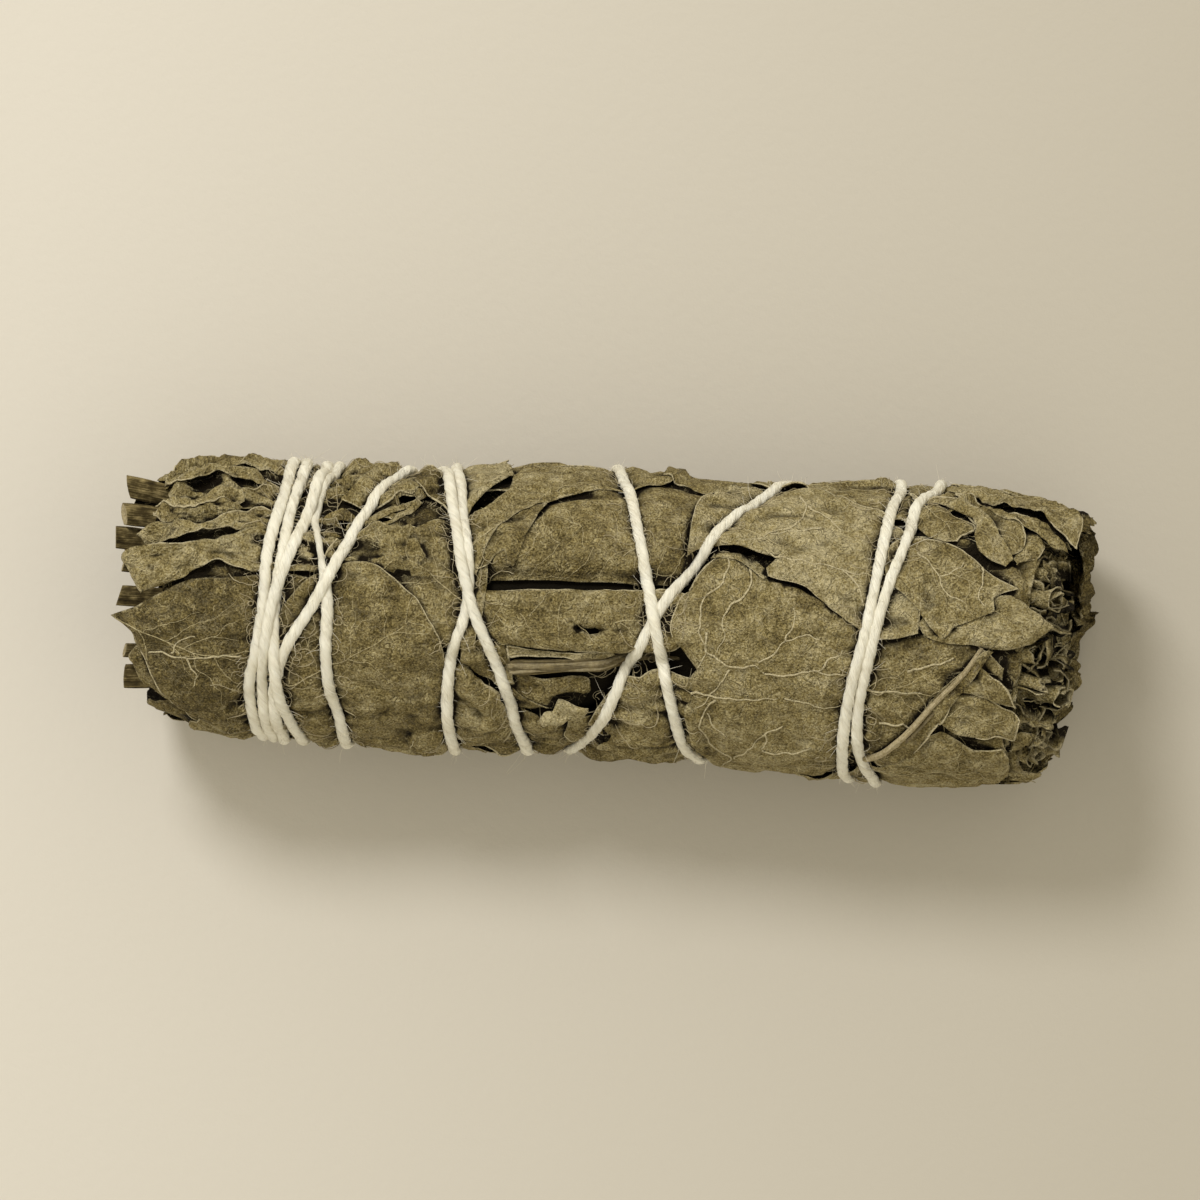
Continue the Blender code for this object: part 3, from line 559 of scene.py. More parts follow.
# Wrapped leaves, from the inside outwards: name, corners (x, angle), and how each one lies.
LEFT_LEAVES = [
    ("side_leaf_left", [(-46, 74), (-42, 72), (-34, 76), (-28, 92), (-34, 110), (-44, 104)],
     dict(depth=1.0, crumple=0.12, ragged=0.12)),
    ("crumpled_leaf_1",
     [(-47, 62), (-47.2, 68), (-46.5, 76), (-46, 86), (-38, 92), (-22, 84), (-24, 66), (-34, 63),
                         (-38, 65), (-42, 61), (-45, 60)],
     dict(depth=0.5, crumple=0.22, pleat=0.9, ragged=0.3, lift=0.35, spacing=0.34)),
    ("crumpled_leaf_2",
     [(-46.3, 51), (-45.4, 58), (-43, 61), (-40, 65), (-36, 62.5), (-22, 62), (-20, 54), (-34, 50.5),
                         (-40, 49), (-43, 49), (-45.5, 47.5)],
     dict(depth=0.35, crumple=0.24, pleat=0.9, ragged=0.3, lift=0.4, spacing=0.34, tint=0.06)),
    ("crumpled_leaf_3",
     [(-48.6, 42), (-47.5, 46), (-44, 46.5), (-38, 48), (-36, 49.5), (-22, 51), (-20, 38), (-34, 38),
                         (-38, 41), (-41, 38), (-43.5, 35.5), (-46, 36), (-48, 38)],
     dict(depth=0.25, crumple=0.24, pleat=0.9, ragged=0.3, lift=0.4, spacing=0.34, tint=0.06)),
    ("crumpled_leaf_4",
     [(-49.6, 31), (-48.7, 35), (-46, 35.3), (-42, 33.5), (-39, 36), (-36.5, 37.5), (-20, 37),
                         (-18, 14), (-34, 22), (-36.5, 26), (-39, 28.5), (-43, 25.5), (-46, 23.5),
      (-48.6, 27)],
     dict(depth=0.1, crumple=0.22, pleat=0.8, ragged=0.28, lift=0.4, spacing=0.34, tint=0.1)),
    ("left_rim_leaf",
     [(-49, -30), (-49.6, -40), (-48.6, -52), (-46.5, -60), (-43.5, -68), (-38, -74), (-34, -60),
                       (-38, -30)], dict(depth=0.9, crumple=0.12, ragged=0.2, tint=-0.1)),
    ("left_gap_leaf", [(-45.5, 12), (-44, 17), (-36, 24), (-31, 20), (-31, 6), (-40, 5), (-44, 6)],
     dict(depth=0.9, crumple=0.08, tint=-0.25)),
    ("bottom_leaf_left",
     [(-41.5, -62), (-38, -52), (-34, -50), (-26, -60), (-14, -62), (-12, -84), (-22, -98),
                          (-36, -98), (-43, -84)], dict(depth=0.5, crumple=0.1, ragged=0.15)),
    ("triangular_leaf",
     [(-51.2, 19), (-50.6, 24.2), (-47, 24), (-44, 23.5), (-41, 24), (-39, 27.5), (-36.5, 29.5),
                         (-28, 27), (-28, 12), (-36, 12.5), (-38.7, 13), (-40.6, 16.5), (-42.4, 13.5),
      (-44, 9.5),
                         (-46.5, 4.5), (-48.9, -0.5), (-50, 7)],
     dict(depth=0.0, crumple=0.16, pleat=0.35, ragged=0.1, lift=0.4, spacing=0.38,
          spine=((-51, 12), (-36, 20)), tint=0.12)),
    ("left_end_leaf", [(-52, -14), (-50, -8), (-47.4, -1), (-45.5, 4), (-43.6, 7), (-41, 7.6), (-37.5, 9.5),
                       (-35, 12), (-31, 10), (-30, -20), (-31, -60), (-35, -70), (-40, -66), (-43.8, -61),
                       (-45.7, -52), (-46.7, -44), (-47.4, -38), (-48.2, -32), (-49.2, -27), (-49.6, -22),
                       (-50.6, -18)],
     dict(depth=0.0, crumple=0.07, ragged=0.05, lift=0.28, tint=-0.18, spine=((-51.5, -14), (-34, -28)),
          veins=[
         [(-48, -27.5), (-45.4, -26.4), (-43.6, -27.4), (-40, -24), (-37.6, -24.6)],
         [(-45.4, -26.4), (-44.6, -20), (-42.6, -16)],
         [(-43.6, -27.4), (-42.4, -34), (-43, -41)]])),
]

CENTRE_LEAVES = [
    ("upper_leaf_middle",
     [(-19, 58), (-12, 62), (-6, 56), (-2, 57), (4, 50), (10, 40), (14, 52), (20, 62), (22, 80),
                           (8, 96), (-10, 96), (-19, 88)], dict(depth=0.5, crumple=0.06)),
    ("lower_leaf_middle",
     [(-17, -50), (-12, -45), (-6, -56), (0, -50), (6, -38), (12, -34), (13, -82), (0, -98),
                           (-14, -92), (-19, -70)], dict(depth=1.5, crumple=0.1, tint=-0.12)),
    ("slit_deep_leaf",
     [(-9.5, -29), (-5, -29.5), (-1.4, -28), (-0.7, -33), (-0.8, -38), (-1.6, -45), (-3.5, -47),
                        (-6, -42), (-9.3, -39)],
     dict(depth=1.3, crumple=0.12, tint=-0.05, lift=0.3, ragged=0.16, sharp=80)),
    ("slit_dark_leaf", [(-9.8, -34), (-4.3, -43.5), (-6, -49), (-9.3, -52)], dict(depth=1.0, tint=-0.15)),
    ("curled_scrap",
     [(-3.5, -39.6), (-2.2, -39.0), (-0.5, -40.2), (-0.6, -43.5), (-1.5, -49), (-2.4, -48.4), (-3.3, -50.6),
                      (-4.4, -49.6), (-5.4, -50.2), (-4.9, -46.5), (-4.0, -44)],
     dict(depth=0.3, lift=0.5, tint=0.3, crumple=0.12, pleat=0.4, ragged=0.1, spacing=0.32)),
    ("slit_low_leaf", [(-9.6, -54), (-6, -51.5), (-3.5, -58), (-4.2, -64), (-8, -72), (-11, -66)],
     dict(depth=0.7, lift=0.25, tint=-0.02)),
    ("low_scrap", [(-2.6, -53), (0.6, -51), (1.2, -64), (-1.5, -73), (-3, -66)], dict(depth=0.6, lift=0.25)),
    ("low_right_scrap",
     [(1.0, -40), (2.2, -33), (4, -27.3), (7, -22.5), (10.5, -23), (11, -45), (12.5, -72), (6, -84),
                         (0.6, -76), (2.0, -62), (-0.2, -53)],
     dict(depth=0.25, lift=0.25, crumple=0.14, ragged=0.14)),
    ("low_left_scrap",
     [(-15.2, -22), (-13.4, -27), (-11.6, -34), (-10, -38), (-9.4, -46), (-9.3, -70), (-14, -84),
                        (-19, -76), (-18, -30)], dict(depth=0.2, lift=0.25, crumple=0.1, ragged=0.14)),
    ("cross_scrap",
     [(-14.6, -8), (-11.5, -13), (-9.6, -13.5), (-8.9, -24), (-8.7, -33), (-10.2, -34), (-11.4, -30),
                     (-14.4, -23)], dict(depth=0.35, lift=0.3, crumple=0.14, ragged=0.12)),
    ("slit_strip",
     [(-9.6, -14.6), (-4, -15.0), (1.5, -14.8), (2.2, -16.4), (0.6, -18.6), (-1.2, -19.6), (-3.2, -18.6),
                    (-6, -19.2), (-9.4, -19.4)], dict(depth=0.55, lift=0.2, tint=0.0, bulge=0.8)),
    ("leaf_below_slit",
     [(-13.4, 9.2), (-8, 10.2), (-3, 10.6), (3, 11.7), (7, 12.8), (10, 11), (10, 2), (9.4, -8),
                         (7.4, -14.8), (0, -15.4), (-4, -15.6), (-8, -14.6), (-11, -12.4), (-14, -5)],
     dict(depth=0.15, crumple=0.09, lift=0.12, ragged=0.07, spine=((-14, 0), (10, -1)),
          holes=[[(-2.4, -4.9), (-1.2, -3.8), (-0.2, -3.4), (0.6, -5.4), (0.3, -7.6), (-0.9, -8.3),
                  (-1.6, -6.9)]])),
    ("dark_smooth_leaf",
     [(-13.5, 13.6), (-13.5, 34), (-9, 46), (-6, 56), (0, 63), (6, 68), (12, 60), (12, 42),
                          (10.5, 26), (9.5, 15.6), (5, 15.5), (-2, 15.0), (-8, 14.3)],
     dict(depth=0.1, crumple=0.035, lift=0.0, bulge=3.0, open_rim=0.12, ragged=0.03, tint=-0.13, rims=False,
          spine=((12, 30), (-12, 34)))),
    ("pocket_leaf", [(-23, 36), (-20.5, 47), (-18.5, 56), (-16, 66), (-14, 62), (-15, 38), (-19, 33)],
     dict(depth=1.0, tint=-0.32, crumple=0.03, lift=0.0)),
    ("pointed_leaf",
     [(-28, 47), (-26, 62), (-24, 78), (-19.5, 86), (-17, 70), (-18.8, 60), (-20.2, 53), (-21.5, 52),
                      (-24, 48)], dict(depth=0.3, lift=0.25, crumple=0.08, spine=((-28, 52), (-18, 66)))),
    ("brown_scrap", [(-20.3, 62), (-18.5, 53), (-16.3, 46), (-15.4, 60), (-17, 76), (-19.4, 78)],
     dict(depth=0.45, tint=-0.2, lift=0.15)),
    ("folded_strip_1",
     [(-27.2, 37), (-25.4, 41), (-22, 46.5), (-19.4, 52.6), (-20, 49.6), (-22.5, 42), (-25, 36),
                        (-27, 33.5)], dict(depth=0.35, ridge=0.9, tint=0.1, crumple=0.05, sharp=80)),
    ("folded_strip_2",
     [(-26.4, 29.5), (-25, 33.5), (-22.4, 39.5), (-19.6, 50), (-20.4, 44), (-22.6, 36), (-24.8, 30)],
     dict(depth=0.25, ridge=0.7, tint=0.1, crumple=0.05, sharp=80)),
    ("veined_leaf",
     [(-30, 14), (-29, 24), (-27.4, 30.5), (-25.3, 33), (-24, 35.5), (-21.5, 34.4), (-19.4, 36.2),
                     (-17.8, 40.4), (-16.4, 42.3), (-13, 41), (-12, 15), (-13, -16), (-17, -16), (-22, 0)],
     dict(depth=0.25, lift=0.14, crumple=0.06, spine=((-13, 0), (-26, 30)), tint=0.03)),
    ("folded_leaf_top",
     [(-15.6, 43.5), (-14.4, 46), (-12.2, 58), (-10.3, 64.5), (-9.6, 76), (-10.4, 92), (-15.5, 92),
                         (-16.9, 60)],
     dict(depth=0.05, lift=0.3, tint=0.25, crumple=0.05, spine=((-15, 44), (-11, 90)))),
    ("torn_tail", [(-6.1, 49.5), (-7, 42), (-8, 33), (-8.6, 25.5), (-9.3, 19), (-9.9, 19.6), (-10.4, 24),
                   (-11.2, 22.3), (-12, 18.3), (-13.2, 17), (-14, 26), (-11, 40), (-8, 48)],
     dict(depth=0.1, lift=0.22, tint=-0.08, crumple=0.08, ragged=0.06, bulge=0.5)),
    ("leaf_with_tail", [(-14.6, 42), (-12.2, 52), (-10.2, 62), (-9.4, 86), (2, 93), (9, 84), (6, 66), (1, 61),
                        (-2.3, 56), (-4.6, 53.6), (-6.2, 49.6), (-9, 43), (-11, 35.5), (-12.3, 26),
                        (-13.2, 15),
                        (-14.6, 24)],
     dict(depth=0.0, lift=0.2, crumple=0.06, ragged=0.05, tint=0.05, spine=((-14, 26), (0, 78)))),
    ("smooth_leaf", [(-31, 10), (-28, 15.5), (-25, 17.3), (-22.7, 13), (-21, 8), (-19.3, 2.8), (-17.6, -8),
                     (-16.7, -15), (-15.9, -30), (-15.6, -60), (-17, -80), (-28, -88), (-34, -60), (-35, -30),
                     (-34, -5)],
     dict(depth=0.05, lift=0.12, crumple=0.06, ragged=0.05, tint=-0.10, spine=((-34, -40), (-17, 5)))),
]

RIGHT_LEAVES = [
    ("rim_leaf_upper",
     [(32, 46), (40, 44), (46, 46), (50.2, 50), (50.6, 64), (46, 78), (40, 90), (30, 86), (26, 66)],
     dict(depth=0.75, crumple=0.14, ragged=0.2, tint=-0.1)),
    ("far_end_leaf",
     [(37, 96), (43, 90), (48.4, 94), (50.2, 104), (49.8, 118), (50.4, 131), (46, 139), (39, 134),
                      (35, 116)],
     dict(depth=0.5, crumple=0.1, lift=0.3, ragged=0.16, spine=((37, 116), (50, 112)))),
    ("rim_leaf_lower",
     [(16, -8), (36, 0), (41, -4), (43.5, -12), (43, -30), (44.5, -60), (44, -80), (30, -90),
                        (16, -72)],
     dict(depth=0.55, crumple=0.07, ragged=0.1, spine=((18, -30), (43, -24)), veins=[
         [(27.5, -24.6), (30, -25), (35.3, -24.4)],
         [(33.2, -16), (35, -12.5), (38.4, -9.5)],
         [(30.6, -40), (33.4, -38), (35.2, -44)]])),
    ("inner_leaf_right",
     [(24, 8), (31.5, 19), (34, 40), (38, 44), (42, 38), (44.5, 30), (46, 24), (45, 8), (40, -1),
                          (33, 2)], dict(depth=0.75, crumple=0.08, tint=-0.12)),
    ("top_crack_leaf",
     [(6.6, 77), (8.6, 70), (10.5, 64.5), (12.4, 66), (14.6, 73), (18, 80), (14, 94), (7, 90)],
     dict(depth=0.2, lift=0.4, crumple=0.12, ragged=0.16, tint=-0.05)),
    ("largest_leaf",
     [(9.6, 13), (10.6, 21), (11.8, 27), (13.5, 30.5), (16.4, 22), (20, 17), (26, 6), (29.6, 1),
                      (29.8, -8), (28.4, -30), (27.4, -62), (24, -82), (14, -88), (11.6, -72), (10.4, -52),
      (9.7, -38),
                      (10.4, -29), (9.9, -23.5), (10.7, -19.5), (9.2, -12.5), (7.8, -4), (8.6, 8)],
     dict(depth=0.15, lift=0.1, crumple=0.06, ragged=0.04, veins=[
         [(13.3, 29), (13.6, 22), (12.8, 15), (11, 9), (10.8, 3), (11, -1), (10.6, -5), (11.8, -9),
          (11.6, -14), (10.5, -18)],
         [(15.8, 22), (16.2, 16), (15.4, 10), (13.8, 6), (13.2, 2), (13.5, -5), (12.6, -12)],
         [(11.8, -3), (11.4, -10), (12.5, -14), (14.6, -17), (17, -15), (17.6, -18)],
         [(17.2, -15), (19, -10), (20, -5), (21.5, -3), (24, -4)],
         [(20, -5), (21, 2), (20.4, 8)],
         [(14.5, -17), (13.8, -21), (12.6, -28), (11.6, -33), (10.3, -36)],
         [(10.2, -27.5), (12, -29), (16.5, -29.5), (20, -28.6)],
         [(13, -30), (12, -36), (11.3, -44), (12, -53), (13.5, -61), (15.2, -66), (14.2, -75), (13.8, -83)],
         [(15.2, -67), (16.8, -58), (17.6, -50), (18.5, -46), (20.5, -41)],
         [(12.2, -38), (13.4, -46), (14.4, -50)],
         [(18, -56), (20, -58), (22, -56), (23.6, -52)],
         [(20, -28.6), (22.5, -31), (24, -33), (27, -32)],
         [(17.6, -18), (20, -19), (23.6, -16.5), (27, -18)],
         [(23.6, -16.5), (25, -11), (26.4, -8)],
         [(18.5, -46), (19, -52), (18, -56)],
         [(27, -32), (28.6, -40), (28, -50)]])),
    ("top_leaf_right",
     [(15.5, 76), (19, 75), (21.5, 71.5), (23.3, 66), (25, 60), (27.6, 52.5), (34, 54), (39, 64),
                        (41, 84), (32, 100), (20, 96)],
     dict(depth=0.15, lift=0.38, crumple=0.08, ragged=0.07, tint=0.04, spine=((18, 84), (40, 76)))),
    ("under_flap", [(12.2, 33), (14.5, 30.5), (16.6, 27), (18.3, 20), (17.4, 18), (15.2, 24.5), (12.6, 26.6),
                    (11.2, 29.5)], dict(depth=0.05, lift=0.2, tint=0.08, bulge=0.9, ragged=0.05)),
    ("upper_leaf_right",
     [(9, 27), (10.8, 31.8), (12.6, 33.4), (14.6, 31.2), (16.8, 28.3), (18.8, 27), (17.6, 21.5),
                          (17.8, 18.6), (20, 17.6), (22, 15), (24.5, 8), (27, 2.2), (30, -3), (34, 0),
      (34, 28),
                          (31, 50), (26, 61), (21.5, 70.5), (17, 74), (13, 70), (10, 52)],
     dict(depth=0.0, lift=0.3, crumple=0.07, ragged=0.06, tint=0.12, spine=((13, 42), (33, 22)), veins=[
         [(20.8, 62), (21.6, 53), (21.2, 45), (20, 40), (17.5, 36), (14.6, 32.5)],
         [(23.5, 41), (20.5, 38.6), (17.5, 36)],
         [(17.8, 27), (22, 25.5), (25.8, 23), (30, 21)],
         [(25.8, 23), (27.6, 17), (28.2, 9)],
         [(21.6, 53), (24, 48), (25.6, 40)]])),
    ("rim_leaf_tip", [(34, 4), (35.5, 10), (38.8, 13.5), (41, 15.8), (43, 16.3), (44.8, 14.2), (46.5, 10),
                      (48.4, 5.4), (47.4, 2.6), (46.4, -0.6), (44, -3.4), (41, -3.3), (37.4, -2.4), (35, 0)],
     dict(depth=0.2, lift=0.18, crumple=0.07, ragged=0.09, tint=0.1, spine=((38, 4), (48, 5)), bulge=0.6)),
    ("rim_leaf_middle",
     [(30.5, 22), (31.7, 17), (33.4, 10.5), (35, 3.5), (36.5, -1.6), (37.3, -0.4), (37.9, 2.6),
                         (40, 6), (42, 10), (41.8, 15.5), (43, 18), (44.6, 20), (43, 22.3), (41.4, 26.4),
      (40, 32),
                         (37, 39), (33, 42), (30, 34)],
     dict(depth=0.1, lift=0.15, crumple=0.06, ragged=0.05, spine=((31, 30), (44, 14)), tint=0.08, veins=[
         [(40.6, 29), (40.8, 22), (40.2, 15), (41.4, 11)],
         [(33.6, 33), (35.6, 26), (36.4, 18), (39, 12)],
         [(36, 22), (38.2, 27), (38.6, 32)]])),
    ("rounded_leaf",
     [(33.2, 62), (33.5, 48), (34.6, 41.4), (36.3, 39), (37.9, 39.8), (38.4, 43.8), (39.9, 46.4),
                      (39.7, 50), (37.6, 57), (35.5, 63)],
     dict(depth=0.0, lift=0.2, crumple=0.06, tint=0.05, spine=((34, 62), (37.6, 41)), bulge=0.5)),
    ("inner_lance", [(43.2, 44), (44.6, 46.4), (46.3, 45.8), (47.1, 41), (46.4, 36), (45.2, 33), (44.3, 30),
                     (43.6, 35)], dict(depth=0.35, lift=0.3, crumple=0.1, tint=0.0, bulge=1.0)),
    ("lance_leaf_2",
     [(37.5, 70), (41.5, 62), (43.8, 52), (44.9, 44), (44.5, 37), (43.4, 35), (41.6, 42), (39, 56)],
     dict(depth=0.15, lift=0.25, crumple=0.05, tint=0.02, spine=((38, 70), (44, 37)), bulge=0.5)),
    ("lance_leaf_1", [(32.6, 71), (36, 67.5), (39.3, 60), (41.4, 50), (42.6, 41), (43.9, 31.8), (43.1, 28.2),
                      (41.2, 31.4), (39.9, 36.5), (39.5, 42), (39.7, 47), (38.2, 55.5), (35.7, 62.2)],
     dict(depth=0.0, lift=0.25, crumple=0.06, tint=0.1, spine=((33, 70), (43, 30)), bulge=0.5)),
    ("corner_fold_2", [(40.4, 63), (43, 59), (46.4, 53.4), (49, 46), (49.6, 41), (47.6, 41.6), (44.6, 48),
                       (42, 54.5)],
     dict(depth=0.1, pleat=0.5, lift=0.3, crumple=0.12, ragged=0.14, tint=0.0)),
    ("corner_leaf", [(37.5, 74), (41, 69), (42.6, 63.4), (44, 60), (45.8, 57.2), (46.9, 56), (48.2, 50.4),
                     (49.6, 45.5), (50.7, 43), (51.2, 50), (51.3, 58), (51.1, 66), (49, 70), (46, 76),
                     (42, 88),
                     (36, 92)],
     dict(depth=0.0, lift=0.25, crumple=0.14, pleat=0.4, ragged=0.12, tint=0.06, spine=((38, 84), (51, 55)))),
    ("bottom_leaf_right",
     [(30, -66), (33, -58), (34.8, -46), (37, -41.5), (39.6, -46.5), (41.2, -49), (43.9, -47),
                           (44.6, -55), (44.2, -76), (38, -94), (28, -98), (22, -86)],
     dict(depth=0.1, lift=0.25, crumple=0.08, ragged=0.08, tint=0.08, spine=((30, -72), (44, -60)))),
    ("low_tube_leaf", [(44.2, -42), (46, -41), (48, -44), (48.4, -52), (46, -57), (44, -54)],
     dict(depth=0.8, pleat=0.3, lift=0.4, crumple=0.14, ragged=0.2)),
    ("veined_fold", [(36.2, -31), (37.4, -26.5), (39.4, -23.4), (41.6, -25), (44.2, -30), (45.4, -34.5),
                     (45, -43), (43.2, -41), (41.2, -43), (39, -40.6), (37, -36.4)],
     dict(depth=0.15, lift=0.3, crumple=0.12, ragged=0.08, tint=0.1, spine=((36, -33), (45, -37)),
          bulge=0.6)),
    ("triangle_fold", [(38.3, -22), (39.4, -16.5), (40.4, -11), (41.8, -14.8), (43.6, -20), (45, -28.4),
                       (42.6, -26), (40.4, -23)],
     dict(depth=0.1, lift=0.25, crumple=0.08, tint=0.08, bulge=0.5)),
    ("side_strip",
     [(30.6, -65), (32.4, -60), (34.8, -49.5), (36.4, -40), (38.2, -28.5), (39.8, -18.5), (42.4, -5.5),
                    (41.2, -4.6), (39.6, -10), (37.6, -19), (35.2, -31), (32.6, -45.5), (30.2, -60)],
     dict(depth=0.05, lift=0.3, bulge=0.5, crumple=0.06, ragged=0.1, tint=-0.14, sharp=60)),
]

# Crumpled strips over the left end's top: left tip (x, angle), right end (x, angle), width in degrees, tint.
STRIPS = [
    (-47.2, 44.0, -38.5, 45.5, 4.0, 0.1), (-46.0, 56.5, -37, 58.5, 5.0, 0.08),
          (-44.0, 68.5, -34, 72, 7.0, -0.05),
]


def strip_corners(x0, a0, x1, a1, width, seed):
    """A ragged narrow leaf's corners between two ends."""
    rng = np.random.default_rng(seed)
    steps = np.linspace(0, 1, 8)
    wide = width / 2 * np.array([0.35, 0.8, 1.0, 0.95, 1.05, 1.0, 0.9, 0.8])
    upper = [(x0 + (x1 - x0) * t + rng.normal(0, 0.35),
              a0 + (a1 - a0) * t + w * rng.uniform(0.7, 1.25)) for t, w in zip(steps, wide)]
    lower = [(x0 + (x1 - x0) * t + rng.normal(0, 0.35),
              a0 + (a1 - a0) * t - w * rng.uniform(0.6, 1.35)) for t, w in zip(steps, wide)]
    return [(x0 - rng.uniform(0.2, 0.9), a0 + rng.uniform(-1, 1))] + lower + upper[::-1]


# Pointed oval leaves behind and underneath: (name, depth, X, angle, turn in the sheet, length, width).
OVALS = [
    ("far_leaf_left", 0.5, -31, 130, 5, 39, 20),
    ("far_leaf_middle", 0.2, 0, 127, -6, 40, 21),
    ("far_leaf_right", 0.3, 30, 122, 6, 40, 21),
    ("underside_leaf_left", 0.2, -30, -164, -4, 38, 21),
    ("underside_leaf_middle", 0.4, 0, -166, 5, 40, 22),
    ("underside_leaf_right", 0.2, 29, -168, -5, 41, 22),
    ("near_leaf_left", 0.4, -28, -116, 3, 36, 19),
    ("near_leaf_middle", 0.3, 2, -122, -4, 36, 17),
    ("near_leaf_right", 0.4, 31, -120, 3, 34, 18),
]


def oval(x, angle, turn, length, width):
    """A pointed oval leaf's corners, laid on the unrolled surface."""
    turned = math.radians(turn)
    right = [(0.0, 0.1), (0.12, 0.33), (0.36, 0.5), (0.62, 0.44), (0.85, 0.22)]
    corners = []
    for along, across in right + [(1, 0)] + [(a, -b) for a, b in reversed(right)]:
        u, v = (along - 0.5) * length, across * width
        corners.append((x + u * math.cos(turned) - v * math.sin(turned),
                        angle + (u * math.sin(turned) + v * math.cos(turned)) / ARC))
    return corners


# ---------------------------------------------------------------- materials

class Nodes:
    """Short calls for building a material's nodes."""

    def __init__(self, name):
        self.material = bpy.data.materials.new(name)
        self.material.use_nodes = True
        self.tree = self.material.node_tree
        self.shader = self.tree.nodes["Principled BSDF"]

    def node(self, kind, inputs=(), **settings):
        made = self.tree.nodes.new(kind)
        for key, value in settings.items():
            setattr(made, key, value)
        for key, value in dict(inputs).items():
            if isinstance(value, bpy.types.NodeSocket):
                self.tree.links.new(value, made.inputs[key])
            else:
                made.inputs[key].default_value = value
        return made

    def attribute(self, name, vector=False):
        made = self.node("ShaderNodeAttribute", attribute_name=name)
        return made.outputs["Vector" if vector else "Fac"]

    def noise(self, place, scale, detail=3.0, roughness=0.6, distortion=0.0):
        made = self.node("ShaderNodeTexNoise", {"Vector": place, "Scale": scale, "Detail": detail,
                                                "Roughness": roughness, "Distortion": distortion})
        return made.outputs["Fac"]

    def math(self, operation, a, b=0.0, c=0.0):
        made = self.node("ShaderNodeMath", {0: a, 1: b, 2: c}, operation=operation)
        return made.outputs[0]

    def span(self, value, low, high, to_low=0.0, to_high=1.0):
        made = self.node("ShaderNodeMapRange", {"Value": value, "From Min": low, "From Max": high,
                                                "To Min": to_low, "To Max": to_high})
        return made.outputs["Result"]

    def mix(self, share, first, second):
        made = self.node("ShaderNodeMix", data_type="RGBA")
        for socket, value in ((made.inputs[0], share), (made.inputs[6], first), (made.inputs[7], second)):
            if isinstance(value, bpy.types.NodeSocket):
                self.tree.links.new(value, socket)
            else:
                socket.default_value = value if not isinstance(value, tuple) else (*value[:3], 1)
        return made.outputs[2]

    def ramp(self, value, stops):
        made = self.node("ShaderNodeValToRGB", {"Fac": value})
        elements = made.color_ramp.elements
        while len(elements) < len(stops):
            elements.new(0.5)
        for element, (position, colour) in zip(elements, stops):
            element.position = position
            element.color = (*colour, 1)
        return made.outputs["Color"]

    def bump(self, height, distance, normal=None):
        inputs = {"Height": height, "Distance": distance * MM, "Strength": 1.0}
        if normal is not None:
            inputs["Normal"] = normal
        return self.node("ShaderNodeBump", inputs).outputs["Normal"]

    def finish(self, colour, roughness, normal=None):
        for key, value in (("Base Color", colour), ("Roughness", roughness), ("Normal", normal)):
            if isinstance(value, bpy.types.NodeSocket):
                self.tree.links.new(value, self.shader.inputs[key])
            elif value is not None:
                self.shader.inputs[key].default_value = value if not isinstance(value, tuple) else (*value, 1)
        self.shader.inputs["Specular IOR Level"].default_value = 0.12
        return self.material


def millimetres(n):
    """Object coordinates in mm."""
    place = n.node("ShaderNodeTexCoord").outputs["Object"]
    return n.node("ShaderNodeVectorMath", {0: place, 3: 1 / MM}, operation="SCALE").outputs[0]


